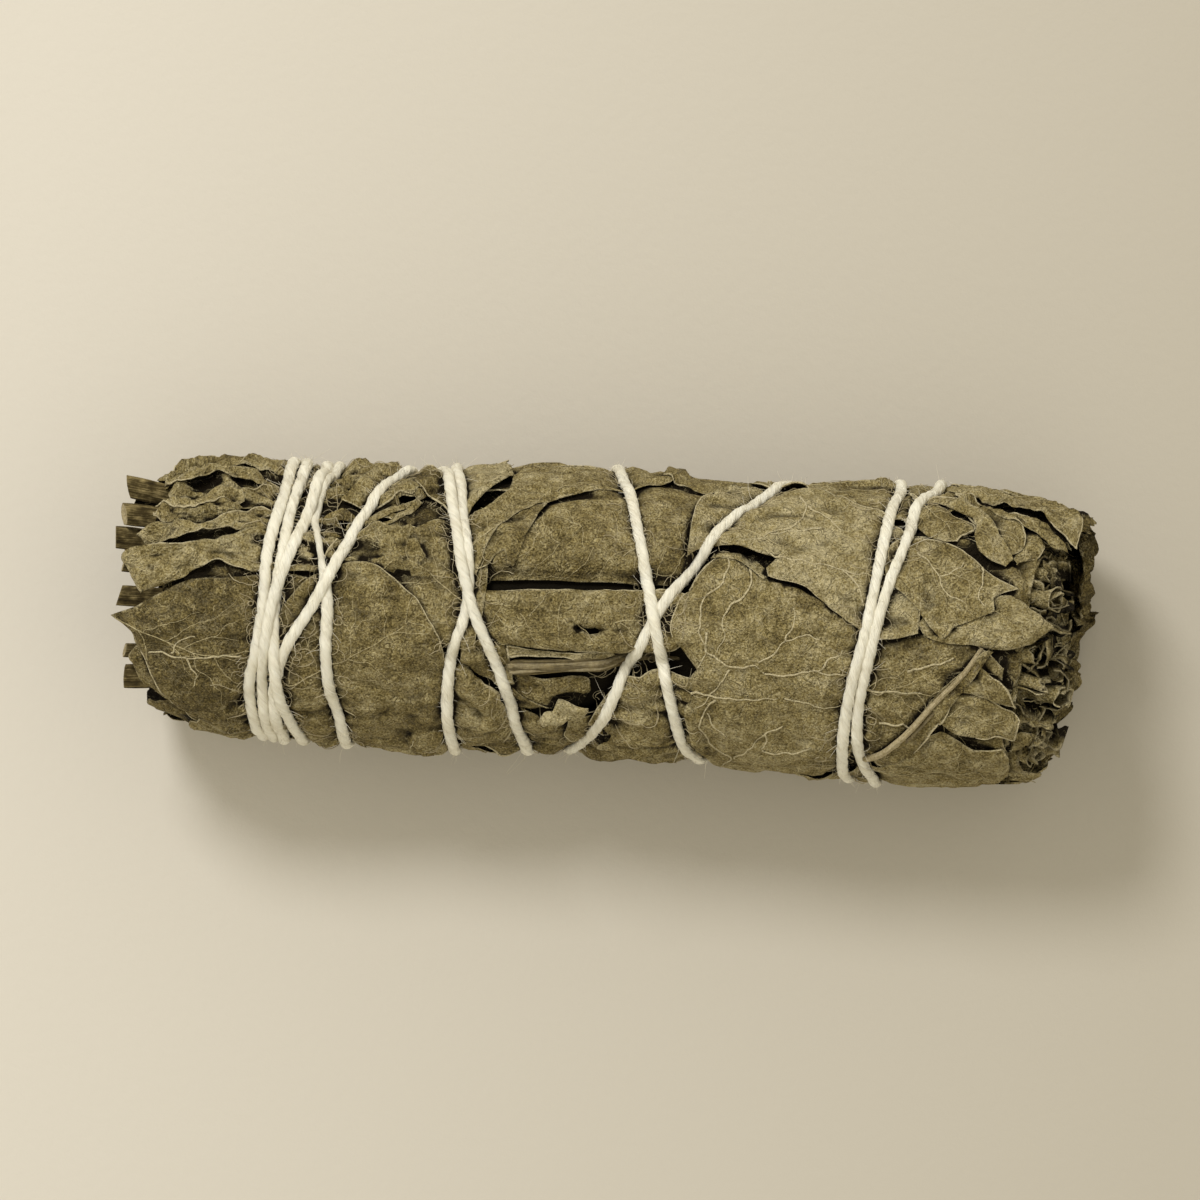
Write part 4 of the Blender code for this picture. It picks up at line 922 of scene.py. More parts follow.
def leaf_material():
    n = Nodes("dried_leaf")
    place = millimetres(n)
    vein_place = n.attribute("vein_place", vector=True)
    depth = n.attribute("depth")
    broad = n.noise(vein_place, 0.16, 3.0, 0.55)
    patch = n.noise(place, 0.6, 3.0, 0.5)
    mottle = n.noise(place, 1.7, 2.0, 0.5)
    grain = n.noise(place, 4.6, 1.0, 0.6)
    value = n.math("MULTIPLY_ADD", broad, 0.6, n.math("MULTIPLY_ADD", patch, 0.9, n.attribute("tint")))
    value = n.math("MULTIPLY_ADD", mottle, 0.2, value)
    value = n.math("MULTIPLY_ADD", grain, 1.0, n.math("SUBTRACT", value, 0.82))
    value = n.math("MULTIPLY_ADD", value, 1.05, -0.025)
    colour = n.ramp(value, [(0.10, (0.050, 0.036, 0.010)), (0.36, (0.165, 0.124, 0.043)),
                            (0.56, (0.310, 0.245, 0.100)), (0.92, (0.60, 0.515, 0.300))])
    swirl = n.node("ShaderNodeTexNoise",
                   {"Vector": vein_place, "Scale": 0.6, "Detail": 5.0, "Roughness": 0.75})
    shifted = n.node("ShaderNodeVectorMath", {0: swirl.outputs["Color"], 3: 3.0},
                     operation="SCALE").outputs[0]
    bent = n.node("ShaderNodeVectorMath", {0: vein_place, 1: shifted}, operation="ADD").outputs[0]
    lines = None
    for scale, low, high, shown, fade_scale, fade_from, fade_to in (
            (0.26, 0.010, 0.030, 1.0, 0.30, 0.40, 0.58), (0.75, 0.02, 0.07, 0.8, 0.55, 0.36, 0.66),
            (1.9, 0.03, 0.16, 0.45, 0.8, 0.30, 0.70)):
        edge = n.node("ShaderNodeTexVoronoi", {"Vector": bent, "Scale": scale},
                      feature="DISTANCE_TO_EDGE").outputs[0]
        fading = n.span(n.noise(vein_place, fade_scale, 2.0), fade_from, fade_to)
        line = n.math("MULTIPLY", n.span(edge, low, high, shown, 0.0), fading)
        lines = line if lines is None else n.math("MAXIMUM", lines, line)
    colour = n.mix(n.math("MULTIPLY", lines, 0.40), colour, (0.56, 0.475, 0.28))
    specks = n.span(n.noise(place, 3.1, 2.0, 0.6), 0.63, 0.70)
    colour = n.mix(n.math("MULTIPLY", specks, 0.6), colour, (0.045, 0.030, 0.010))
    # Painted highlight: a pale, patchy band along each leaf's edge, where light catches it.
    rim = n.span(n.attribute("rim"), 0.06, 0.26, 0.8, 0.0)
    colour = n.mix(n.math("MULTIPLY", rim, n.span(patch, 0.42, 0.6)), colour, (0.50, 0.43, 0.26))
    # pale: the veins' own lighter colour, and a painted highlight on rim lines, ribbon tops and the open ends of rolls.
    colour = n.mix(n.attribute("pale"), colour, (0.62, 0.54, 0.345))
    # Painted shade: the depth attribute darkens creases, gaps under leaf edges and the string, and leaf undersides
    # towards near black.
    colour = n.mix(n.span(depth, 0.07, 0.42, 0.0, 1.0), colour, (0.012, 0.008, 0.003))
    crease = n.math("SUBTRACT", n.noise(vein_place, 0.55, 3.0, 0.55, 0.8), 0.5)
    wrinkle = n.math("SUBTRACT", n.noise(vein_place, 1.5, 2.0, 0.5, 1.0), 0.5)
    shown = n.span(patch, 0.40, 0.56)
    groove, fine_groove = n.math("ABSOLUTE", crease), n.math("ABSOLUTE", wrinkle)
    # Painted shade: thin dark lines along the bottoms of the creases.
    crease_shade_lines = n.math("MAXIMUM", n.span(groove, 0.0, 0.016, 0.75, 0.0),
                        n.span(fine_groove, 0.0, 0.022, 0.35, 0.0))
    colour = n.mix(n.math("MULTIPLY", crease_shade_lines, shown), colour, (0.035, 0.024, 0.008))
    # Painted highlight: a pale line beside each crease.
    lip = n.span(n.math("ABSOLUTE", n.math("SUBTRACT", crease, 0.026)), 0.0, 0.014, 0.5, 0.0)
    colour = n.mix(n.math("MULTIPLY", lip, shown), colour, (0.66, 0.56, 0.32))
    height = n.math("MULTIPLY_ADD", mottle, 0.55,
                    n.math("MULTIPLY_ADD", grain, 0.26, n.math("MULTIPLY", lines, 0.07)))
    height = n.math("MULTIPLY_ADD", patch, 0.9, height)
    height = n.math("MULTIPLY_ADD", n.math("MINIMUM", groove, 0.06), 2.2, height)
    height = n.math("MULTIPLY_ADD", n.math("MINIMUM", fine_groove, 0.06), 0.9, height)
    return n.finish(colour, n.span(mottle, 0.3, 0.7, 0.72, 0.9), n.bump(height, 1.3))


def gap_shade_material():
    n = Nodes("inner_leaf")
    place = millimetres(n)
    # Painted shade: near black, for the shade deep in the gaps between the wrapped leaves.
    colour = n.mix(n.noise(place, 0.9), (0.004, 0.003, 0.001), (0.010, 0.007, 0.003))
    return n.finish(colour, 0.9, n.bump(n.noise(place, 2.0), 0.3))


def stem_material():
    n = Nodes("twig_bark")
    place = millimetres(n)
    grain_place = n.attribute("grain_place", vector=True)
    stripes = n.noise(grain_place, 1.0, 4.0, 0.65)
    blotch = n.noise(place, 0.8, 3.0)
    value = n.math("MULTIPLY_ADD", blotch, 0.5, n.math("MULTIPLY", stripes, 0.75))
    bark = n.ramp(value,
                  [(0.44, (0.016, 0.010, 0.003)), (0.60, (0.080, 0.058, 0.021)), (0.78, (0.36, 0.28, 0.125))])
    wood = n.ramp(n.noise(place, 3.0), [(0.35, (0.42, 0.335, 0.18)), (0.65, (0.64, 0.54, 0.34))])
    colour = n.mix(n.attribute("pale"), bark, wood)
    return n.finish(colour, 0.8, n.bump(stripes, 0.5))


def string_material():
    n = Nodes("cotton")
    lay_place = n.attribute("grain_place", vector=True)
    strands = n.noise(lay_place, 1.0, 3.0, 0.6)
    stain = n.noise(millimetres(n), 0.35, 2.0)
    value = n.math("MULTIPLY_ADD", strands, 0.5, n.math("MULTIPLY", stain, 0.4))
    colour = n.ramp(value,
                    [(0.25, (0.74, 0.67, 0.50)), (0.45, (0.93, 0.88, 0.73)), (0.65, (0.98, 0.95, 0.84))])
    return n.finish(colour, 0.95, n.bump(strands, 0.25))


def plain_fibre_material(name, dark, light):
    n = Nodes(name)
    return n.finish(n.mix(n.noise(millimetres(n), 1.2), dark, light), 0.95)


def floor_material():
    n = Nodes("floor_with_painted_falloff")
    place = millimetres(n)
    across = n.node("ShaderNodeSeparateXYZ", {0: place}).outputs["X"]
    # Painted light: the floor is lighter at the left and darker at the right, as the light falls off across it.
    colour = n.mix(n.span(across, -64, 64), (0.655, 0.61, 0.535), (0.495, 0.453, 0.378))
    return n.finish(colour, 0.95, n.bump(n.noise(place, 0.8, 4.0), 0.05))


# ---------------------------------------------------------------- the wrapped leaves

LEAF = leaf_material()


def add_veins(into, corners, under, thickness, seed, spine, radius=0.07):
    """A leaf's midrib and side veins as thin ridges on its face."""
    rng = np.random.default_rng(seed + 200)
    outline = rounded(corners)
    start, end = flat(spine)
    span = np.linalg.norm(end - start)
    ahead = (end - start) / span
    across = np.array([-ahead[1], ahead[0]])
    paths = []
    steps = np.linspace(0, 1, max(int(span / 0.5), 6))
    bend = rng.uniform(-0.06, 0.06) * span
    crooked = 0.3 * wavy(rng, len(steps), 1.5)
    middle = start + steps[:, None] * (end - start) + (np.sin(steps * math.pi) * bend + crooked)[:,
                                                                                                 None] * across
    paths.append((middle, radius * (1.15 - 0.7 * steps)))
    pairs = int(span / 4.2) + 1
    for i in range(pairs):
        for side in (-1, 1):
            root = middle[int((0.06 + 0.86 * (i + rng.uniform(0.1, 0.7)) / pairs) * (len(middle) - 1))]
            heading = math.radians(rng.uniform(38, 60)) * side
            way = ahead * math.cos(heading) + across * math.sin(heading)
            point = root.copy()
            path = [point.copy()]
            length = rng.uniform(4, 10)
            bent_so_far = 0.0
            for _ in range(int(length / 0.5)):
                turn = rng.normal(0, 0.30) - 0.03 * side - 0.25 * bent_so_far
                bent_so_far += turn
                way = np.array([way[0] * math.cos(turn) - way[1] * math.sin(turn),
                                way[0] * math.sin(turn) + way[1] * math.cos(turn)])
                point = point + 0.5 * way
                path.append(point.copy())
            paths.append((np.array(path), radius * np.linspace(0.85, 0.35, len(path))))
            if rng.random() < 0.7 and len(path) > 6:
                fork = path[len(path) // 2]
                turn = rng.uniform(0.5, 0.9) * -side
                split = np.array([way[0] * math.cos(turn) - way[1] * math.sin(turn),
                                  way[0] * math.sin(turn) + way[1] * math.cos(turn)])
                branch = np.array([fork + split * 0.5 * k + rng.normal(0, 0.11,
                                                                       2)
                                   * (k > 0) for k in range(rng.integers(5, 10))])
                paths.append((branch, radius * np.linspace(0.6, 0.3, len(branch))))
    for path, radii in paths:
        keep = inside(path, outline) & (path_distance(path, outline, closed=True) > 0.25)
        stop = len(path) if keep.all() else int(np.argmin(keep))
        if stop >= 4:
            add_ridge(into, path[:stop], under, thickness, radii[:stop], pale=0.28)


def add_ridge(into, path, under, thickness, radii, pale=0.55, sides=5):
    x, angle = path[:, 0], path[:, 1] / ARC
    height = ground(x, angle) + sample(under, x, angle) + thickness
    points, faces = tube(place(x, angle, height + np.asarray(radii) * 0.35), radii, sides)
    into.add(points, faces, vein_place=(0, 0, 0), rim=1.0, tint=0.1, pale=pale)


def add_own_veins(into, veins, under, thickness, seed):
    """Veins laid along given (x, angle) paths, a little crooked."""
    rng = np.random.default_rng(seed + 400)
    for vein in veins:
        corners = flat(vein)
        along = np.concatenate([[0], np.cumsum(np.linalg.norm(np.diff(corners, axis=0), axis=1))])
        even = np.arange(0, along[-1], 0.33)
        path = np.stack([np.interp(even, along, corners[:, i]) for i in (0, 1)], 1)
        if len(path) < 5:
            continue
        for i in (0, 1):
            path[:, i] = blurred_line(path[:, i], 1.2) + 0.17 * wavy(rng, len(path), 1.0)
        radii = 0.12 * (0.8 + 0.4 * wavy(rng, len(path), 3)) * np.linspace(1.1, 0.7, len(path))
        add_ridge(into, path, under, thickness, np.clip(radii, 0.05, 0.17), pale=0.8)


def add_rims(into, outline, under, seed):
    """The leaf's edge rolled into a thin pale line, thicker in places; the pale colour is a painted highlight."""
    rng = np.random.default_rng(seed + 300)
    count = len(outline)
    raw = rng.standard_normal(count)
    waves = blurred_line(np.concatenate([raw, raw, raw]), 7)[count:2 * count]
    thick = np.clip(0.030 + 0.045 * waves / (waves.std() + 1e-9), 0.0, 0.12)
    ahead = unit(np.roll(outline, -1, axis=0) - np.roll(outline, 1, axis=0))
    side = np.stack([-ahead[:, 1], ahead[:, 0]], 1)
    probe = inside(outline + 0.1 * side, outline)
    inward = np.where(probe[:, None], side, -side)
    path = outline + 0.04 * inward
    shown = thick > 0.045
    start = 0
    while start < count:
        if not shown[start]:
            start += 1
            continue
        stop = start
        while stop < count and shown[stop]:
            stop += 1
        if stop - start >= 5:
            add_ridge(into, path[start:stop], under, 0.12, thick[start:stop], pale=0.8, sides=4)
        start = stop


def add_leaf_piece(name, corners, seed, options, cad=True, rims=False):
    options = dict(options)
    veins = options.pop("veins", ())
    rims = options.pop("rims", rims)
    into = Mesh()
    outline, under = leaf_mesh(into, corners, seed=seed, **options)
    add_own_veins(into, veins, under, options.get("thickness", BLADE), seed)
    if options.get("spine"):
        add_veins(into, corners, under, options.get("thickness", BLADE), seed, options["spine"])
    if rims:
        add_rims(into, outline, under, seed)
    piece = into.build(f"{name}_blade", LEAF)
    LAID.append((piece, into.laid))
    if cad:
        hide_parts(name)
    return piece


def add_wrapped_leaves():
    nodes = set(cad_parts)
    rng = np.random.default_rng(21)
    number = 0
    for row, angle in enumerate(range(-175, 185, 24)):
        for x in (-30, -1, 27):
            number += 1
            slit = abs(x + 1) < 5 and -60 < angle < 40
            if slit:
                continue
            spot_x, spot_a = x + rng.uniform(-4,
                                             4) + (14 if row % 2 else 0) * (x > 0) * 0.5, angle + rng.uniform(-4, 4)
            corners = oval(spot_x, spot_a, rng.uniform(-12, 12), rng.uniform(30, 38), rng.uniform(13, 17))
            if -70 < spot_a < 50 and min(c[0] for c in corners) < 9 and max(c[0] for c in corners) > -14:
                corners = [(min(max(cx, -50), -14.5) if spot_x < 0 else max(cx, 9.5), ca) for cx,
                           ca in corners]
            corners = [(min(max(cx, -47.5), 45), ca) for cx, ca in corners]
            add_leaf_piece(f"inner_wrap_{number}", corners, 300 + number,
                           dict(depth=1.75, crumple=0.1, tint=-0.18, spacing=1.2, step=0.7), cad=False)
    behind = 0
    for name, depth, x, angle, turn, length, width in OVALS:
        for offset_x, offset_a in ((9, 16), (-10, -15)):
            behind += 1
            corners = oval(x + offset_x, angle + offset_a + rng.uniform(-3, 3), turn + rng.uniform(-25, 25),
                           rng.uniform(24, 32), rng.uniform(13, 18))
            corners = [(min(max(cx, -48), 48), ca) for cx, ca in corners]
            add_leaf_piece(f"outer_wrap_{behind}", corners, 400 + behind,
                           dict(depth=0.9, crumple=0.09, lift=0.25, ragged=0.12, spacing=0.95, step=0.5,
                                spine=(corners[0], corners[5])), cad=False)
        corners = oval(x, angle, turn, length, width)
        add_leaf_piece(name, corners, 500 + behind,
                       dict(depth=depth, crumple=0.08, lift=0.3, ragged=0.08, spacing=0.75,
                            tint=rng.uniform(-0.1, 0.1),
                            spine=(corners[0], corners[5])))
    for number, (x0, a0, x1, a1, width, tint) in enumerate(STRIPS):
        LEFT_LEAVES.insert(4 + number,
                           (f"crumpled_strip_{number + 1}",
                            strip_corners(x0, a0, x1, a1, width, 950 + number),
                                        dict(depth=0.0, crumple=0.2, pleat=0.7, ragged=0.24, lift=0.45,
                                             open_rim=0.6, spacing=0.36, tint=tint)))
    for number, (name, corners, options) in enumerate(LEFT_LEAVES + CENTRE_LEAVES + RIGHT_LEAVES):
        add_leaf_piece(name, corners, 1000 + 17 * number, options, cad=name in nodes, rims=True)


def add_core():
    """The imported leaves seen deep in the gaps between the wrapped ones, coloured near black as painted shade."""
    xs = np.arange(-44, 41.1, 0.9)
    angles = np.arange(-180, 180, 3.0)
    rings = []
    for x in xs:
        rings.append(place(np.full(len(angles), x), angles, ground(np.full(len(angles), x), angles) - 0.15))
    into = Mesh()
    into.add(np.concatenate(rings), ring_faces(len(xs), len(angles)))
    core = into.build("inner_leaves", gap_shade_material())


# ---------------------------------------------------------------- cut ends

def right_end(y, height):
    """Where the cut leaves end at the right: the cut slants back towards the top and the -Y side."""
    return np.interp(y, (-15.6, -13.9, -8.4, 0.3, 11, 15.3),
                     (47.9, 49.4, 51.0, 52.1, 52.1, 51.3)) - 0.37 * np.maximum(height, 0)


def left_end(y, height):
    return -46.8 + 0.03 * height


def add_sheet(into, path, start, ends, rng, thickness=0.24, curl=0.5, tint=0.0):
    """A leaf seen end-on: a thin sheet along X over a (y, z) path, with a ragged, crinkled end."""
    count = len(path)
    shares = np.array([0, 0.45, 0.68, 0.8, 0.89, 0.96, 1.0])
    ahead = unit(np.gradient(path, axis=0))
    side = np.stack([ahead[:, 1], -ahead[:, 0]], 1)
    wave = wavy(rng, count, 2.0)
    wave /= wave.std() + 1e-9
    slow = wavy(rng, count, 6.0)
    slow /= slow.std() + 1e-9
    layers = []
    for sign in (0.5, -0.5):
        for share in shares:
            x = start + (ends - start) * share
            near = max(0.0, 1 - abs(1 - share) / 0.5)
            push = curl * (0.55 * wave + 0.75 * slow) * near ** 2 + 0.12 * slow + sign * thickness
            layers.append(np.column_stack([x, path[:, 0] + side[:, 0] * push,
                                           path[:, 1] + side[:, 1] * push]))
    points = np.concatenate(layers)
    points[:, 2] = np.maximum(points[:, 2], 0.35 + 0.1 * np.sign(np.arange(len(points)) - len(points) / 2))
    rows = len(shares)
    r, c = np.meshgrid(np.arange(rows - 1), np.arange(count - 1), indexing="ij")
    a = (r * count + c).ravel()
    top = np.stack([a, a + 1, a + 1 + count, a + count], 1)
    offset = rows * count
    bottom = top[:, ::-1] + offset
    edge_a = np.arange(count - 1) + (rows - 1) * count
    end = np.stack([edge_a + 1, edge_a, edge_a + offset, edge_a + 1 + offset], 1)
    edge_b = np.arange(count - 1)
    begin = np.stack([edge_b, edge_b + 1, edge_b + 1 + offset, edge_b + offset], 1)
    ring = np.arange(rows - 1) * count
    first = np.stack([ring + count, ring, ring + offset, ring + count + offset], 1)
    last = ring + count - 1
    second = np.stack([last, last + count, last + count + offset, last + offset], 1)
    along = np.linalg.norm(np.diff(path, axis=0), axis=1)
    s = np.concatenate([[0], np.cumsum(along)])
    u = np.concatenate([np.broadcast_to(start + (ends - start) * share, (count,)) for share in shares] * 2)
    v = np.tile(s, 2 * rows)
    # rim marks each sheet's cut end for the painted edge highlight; depth paints shade on the sheet further back into
    # the stick.
    rim = np.tile(np.repeat(np.clip((1 - shares) * 6, 0, 1), count), 2)
    behind = np.concatenate([np.abs(ends - start) * (1 - share) for share in shares] * 2)
    into.add(points, [top, bottom, end, begin, first, second],
             vein_place=np.stack([u, v, np.full(len(u), rng.uniform(0, 40))], 1), rim=rim,
             tint=np.full(len(u), tint), pale=np.zeros(len(u)),
             depth=0.05 + 0.45 * np.clip((behind - 0.3) / 2.2, 0, 1))


def arc_path(rng, radius, first, span, wobble):
    """A wavy arc round the stick's axis in (y, z)."""
    count = max(int(math.radians(span) * radius / 0.42), 8)
    turns = np.radians(first + np.linspace(0, span, count))
    own = wavy(rng, count, 5)
    own = own / (own.std() + 1e-9) * wobble
    reach = radius + own + rng.uniform(-1, 1) * np.linspace(0, 1, count)
    reach = np.clip(reach, 0.8, None)
    y, z = reach * np.sin(turns), AXIS_Z + reach * np.cos(turns)
    return np.stack([y, np.maximum(z, 0.6)], 1)


def hairpin_path(rng, radius, turn):
    """A folded leaf in (y, z): out along one curve and back beside it."""
    length = rng.uniform(5, 9)
    middle = np.array([radius * math.sin(math.radians(turn)), AXIS_Z + radius * math.cos(math.radians(turn))])
    heading = math.radians(rng.uniform(0, 360))
    bend = rng.uniform(-0.12, 0.12)
    gap = rng.uniform(0.5, 0.9)
    count = int(length / 0.42)
    steps = np.linspace(-0.5, 0.5, count) * length
    way = heading + bend * steps
    line = middle + np.cumsum(np.stack([np.cos(way), np.sin(way)], 1) * length / count,
                              axis=0) - length / 2 * np.array(
        [math.cos(heading), math.sin(heading)])
    normal = np.stack([-np.sin(way), np.cos(way)], 1)
    there = line + normal * gap / 2
    back = (line - normal * gap / 2)[::-1]
    tip = line[-1:] + 0.35 * np.array([[math.cos(way[-1]), math.sin(way[-1])]])
    return np.concatenate([there, tip, back])


def add_lip(into, first, last, radius, fold, rng):
    """The end of an outer leaf at the right, turned up across the cut between two angles."""
    count = int(math.radians(last - first) * radius / 0.28)
    turn = np.linspace(first, last, count)
    profile = np.array([(-8, 0), (-4, 0), (-1.8, 0), (-0.9, 0), (-0.4, 0.1), (-0.1, 0.35), (0, 0.8),
                        (0.02, 1.2), (-0.02, 1.6),
                        (-0.1, 2.0), (-0.25, 2.4), (-0.4, 2.8), (-0.6, 3.2), (-0.8, 3.6), (-1.0, 4.0)])
    waves = [wavy(rng, count, spread) for spread in (1.3, 4, 10)]
    waves = [wave / (wave.std() + 1e-9) for wave in waves]
    own_fold = fold / 4 * np.clip(0.8 + 0.10 * waves[0] + 0.2 * waves[1] + 0.25 * waves[2], 0.25, 1.5)
    taper = np.clip(np.minimum(turn - first, last - turn) / 9, 0.15, 1)
    across = np.arange(len(profile))[:, None]
    crinkle = 0.36 * np.sin(across * 1.7 + 1.5 * waves[2][None] + rng.uniform(0,
                                                                              6)) + 0.20 * waves[1][None] * (across > 4)
    inward = profile[:, 1:2] * (own_fold * taper)[None] + crinkle * 0.5
    y = radius * np.sin(np.radians(turn))
    height = radius * np.cos(np.radians(turn))
    x = (right_end(y, height) + 0.24 * waves[0] + 0.28 * waves[1])[None] + profile[:,
                                                                                   :1] + crinkle * (profile[:, 1:2] > 0.5)
    layers = []
    for thickness in (0.0, 0.22):
        reach = np.maximum(radius - inward - thickness, 1.0)
        layers.append(np.stack([x - thickness * (profile[:, 1:2] > 0.3),
                                reach * np.sin(np.radians(turn))[None],
                                AXIS_Z + reach * np.cos(np.radians(turn))[None]], -1).reshape(-1, 3))
    rows = len(profile)
    r, c = np.meshgrid(np.arange(rows - 1), np.arange(count - 1), indexing="ij")
    a = (r * count + c).ravel()
    top = np.stack([a, a + 1, a + 1 + count, a + count], 1)
    half = rows * count
    faces = [top, top[:, ::-1] + half]
    for line in (np.arange(count), np.arange(count) + (rows - 1) * count, np.arange(rows) * count,
                 np.arange(rows) * count + count - 1):
        p, q = line[:-1], line[1:]
        faces.append(np.stack([p, q, q + half, p + half], 1))
    own = np.stack([x.ravel(),
                    np.broadcast_to(np.radians(turn) * radius, x.shape).ravel() + 0.5 * inward.ravel(),
                    np.full(x.size, rng.uniform(0, 40))], 1)
    # rim marks the lip's top edge for the painted edge highlight; depth paints shade on its lower rows, which turn into
    # the cut.
    rim = np.broadcast_to(np.clip((rows - 1 - across) / 3, 0, 1), x.shape).ravel()
    points = np.concatenate(layers)
    points[:, 2] = np.maximum(points[:, 2], 0.3)
    into.add(points, faces, vein_place=np.concatenate([own, own]), rim=np.concatenate([rim, rim]),
             tint=np.full(2 * x.size, -0.22), pale=np.zeros(2 * x.size),
             depth=np.tile(np.broadcast_to(np.where(across < 5, 0.5, 0.05), x.shape).ravel(), 2))


def add_end_sheets():
    """The many leaf edges that show where the stick is cut."""
    rng = np.random.default_rng(77)
    right, left = Mesh(), Mesh()
    for into, end, start, radii, way in ((right, right_end, 36.0, np.arange(3.0, 14.6, 0.85), 1),
                                         (left, left_end, -38.0, np.arange(3.4, 12.2, 1.1), -1)):
        for radius in radii:
            first = rng.uniform(0, 360)
            reached = 0.0
            while reached < 330:
                span = rng.uniform(50, 130) * min(1.0, 9 / radius + 0.25)
                path = arc_path(rng, radius, first + reached, span, 0.35)
                height = path[:, 1] - AXIS_Z
                jag = 0.22 * wavy(rng, len(path), 1.2) * 1.6 + 0.4 * wavy(rng, len(path), 4) * 2.5
                recess = rng.uniform(0.0, 2.6)
                if way > 0 and radius < 12.6:
                    recess = 1.2 + 1.6 * recess
                ends = end(path[:, 0], height) + way * (jag - recess)
                add_sheet(into, path, start, ends, rng, tint=rng.uniform(-0.15, 0.15),
                          curl=0.7 if radius < 13 else 0.35)
                reached += span + rng.uniform(4, 22)
        for _ in range(22 if way > 0 else 12):
            path = hairpin_path(rng, rng.uniform(1.5, radii[-1] - 2.5), rng.uniform(0, 360))
            height = path[:, 1] - AXIS_Z
            jag = 0.8 * wavy(rng, len(path), 1.5)
            ends = end(path[:, 0], height) + way * (jag - rng.uniform(0.2, 3.0) * (1.8 if way > 0 else 1.0))
            add_sheet(into, path, start, ends, rng, tint=rng.uniform(-0.1, 0.2), curl=0.35)
    for first, last, radius, fold in ((112, 171, 13.4, 5.4), (164, 214, 12.7, 3.6), (205, 262, 13.5, 2.6),
                                      (60, 118, 13.9, 1.6), (128, 168, 11.4, 2.6)):
        add_lip(right, first, last, radius, fold, rng)
    piece = right.build("cut_leaf_edges_right", LEAF)
    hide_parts("middle_leaf_roll", *[f"leaf_pack_{i}" for i in range(1, 7)])
    piece = left.build("cut_leaf_edges_left", LEAF)


def add_end_ribbons():
    """Thin crinkled leaf edges that stand between the rolls at the right end."""
    rng = np.random.default_rng(91)
    into = Mesh()
    for _ in range(96):
        angle = rng.uniform(-66, 46)
        x = rng.uniform(44.0, 48.8)
        sink = rng.uniform(0.6, 3.2) + 0.45 * max(x - 46.5, 0)
        heading = rng.uniform(-1.0, 1.0) if rng.random() < 0.6 else rng.uniform(0, 2 * math.pi)
        bend = rng.normal(0, 0.5)
        count = int(rng.uniform(1.6, 4.6) / 0.16)
        path = np.zeros((count, 2))
        point = np.array([x, math.radians(angle) * 14.5])
        for step in range(count):
            path[step] = point
            heading += 0.16 * bend + rng.normal(0, 0.22)
            point = point + 0.16 * np.array([math.cos(heading), math.sin(heading)])
        path[:, 0] = np.minimum(path[:, 0], 50.2 + 0.3 * np.sin(path[:, 1]))
        turned = np.degrees(path[:, 1] / 14.5)
        radius = leaf_radius(path[:, 0]) - sink + 0.35 * wavy(rng, count, 2) * 1.6
        lean = rng.normal(0, 0.35, 2)
        side = np.gradient(path, axis=0)
        side = np.stack([-side[:, 1], side[:, 0]],
                        1) / np.maximum(np.linalg.norm(side, axis=1, keepdims=True), 1e-9)
        rows = []
        for half in (0.055, -0.055):
            for down in (0.0, 0.35, 0.9, 1.7, 2.6):
                shift = side * half + lean[None] * down
                rows.append(place(path[:, 0] + shift[:, 0], turned + np.degrees(shift[:, 1] / 14.5),
                                  radius - down))
        r, c = np.meshgrid(np.arange(4), np.arange(count - 1), indexing="ij")
        a = (r * count + c).ravel()
        quads = np.stack([a, a + count, a + 1 + count, a + 1], 1)
        half = 5 * count
        faces = [quads, quads[:, ::-1] + half]
        for line in (np.arange(count), np.arange(count) + 4 * count, np.arange(5) * count,
                     np.arange(5) * count + count - 1):
            p, q = line[:-1], line[1:]
            faces.append(np.stack([p, q, q + half, p + half], 1))
        own = np.stack([np.tile(path[:, 0], 10), np.tile(path[:, 1], 10),
                        np.repeat(np.arange(10), count) * 0.5], 1)
        # Painted shade darkens each ribbon downwards into the stick; a painted highlight lightens its top edge.
        deep = np.tile(np.repeat([0.0, 0.12, 0.3, 0.5, 0.5], count), 2)
        pale = np.tile(np.repeat([rng.uniform(0.1, 0.7), 0, 0, 0, 0], count), 2)
        into.add(np.concatenate(rows), faces, vein_place=own, rim=np.ones(len(own)),
                 tint=np.full(len(own), rng.uniform(-0.1, 0.15)),
                 pale=pale, depth=deep)
    piece = into.build("leaf_edge_bits", LEAF)


# Stems at the left end: (end X, Y, height over the axis, diameter, outward lean in mm per mm, length).
STEMS = [
    (-50.9, 11.3, 4.6, 2.3, 0.16, 16),
    (-51.2, 8.3, 7.4, 2.3, 0.05, 18),
    (-52.0, 5.8, 6.4, 2.3, 0.03, 18),
    (-51.0, 2.9, 8.2, 1.4, 0.04, 16),
    (-50.2, -2.9, 9.0, 1.9, 0.05, 18),
    (-50.4, -6.2, 7.2, 1.5, 0.05, 16),
    (-50.3, -9.0, 4.4, 2.6, 0.07, 18),
    (-51.0, 5.4, -5.6, 2.4, 0.04, 20),
    (-51.5, -0.4, 0.3, 2.2, 0.00, 24),
]


def add_stems():
    wood = stem_material()
    for number, (end_x, y, height, diameter, lean, length) in enumerate(STEMS):
        rng = np.random.default_rng(600 + number)
        distance = math.hypot(y, height)
        inner = (distance - lean * length) / distance
        first = np.array([end_x, y, AXIS_Z + height])
        last = np.array([end_x + length, y * inner, AXIS_Z + height * inner])
        piece = stem_mesh(first, last, diameter / 2, rng, 24).build(f"stem_{number + 1}_wood", wood)
        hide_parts(f"stem_{number + 1}")


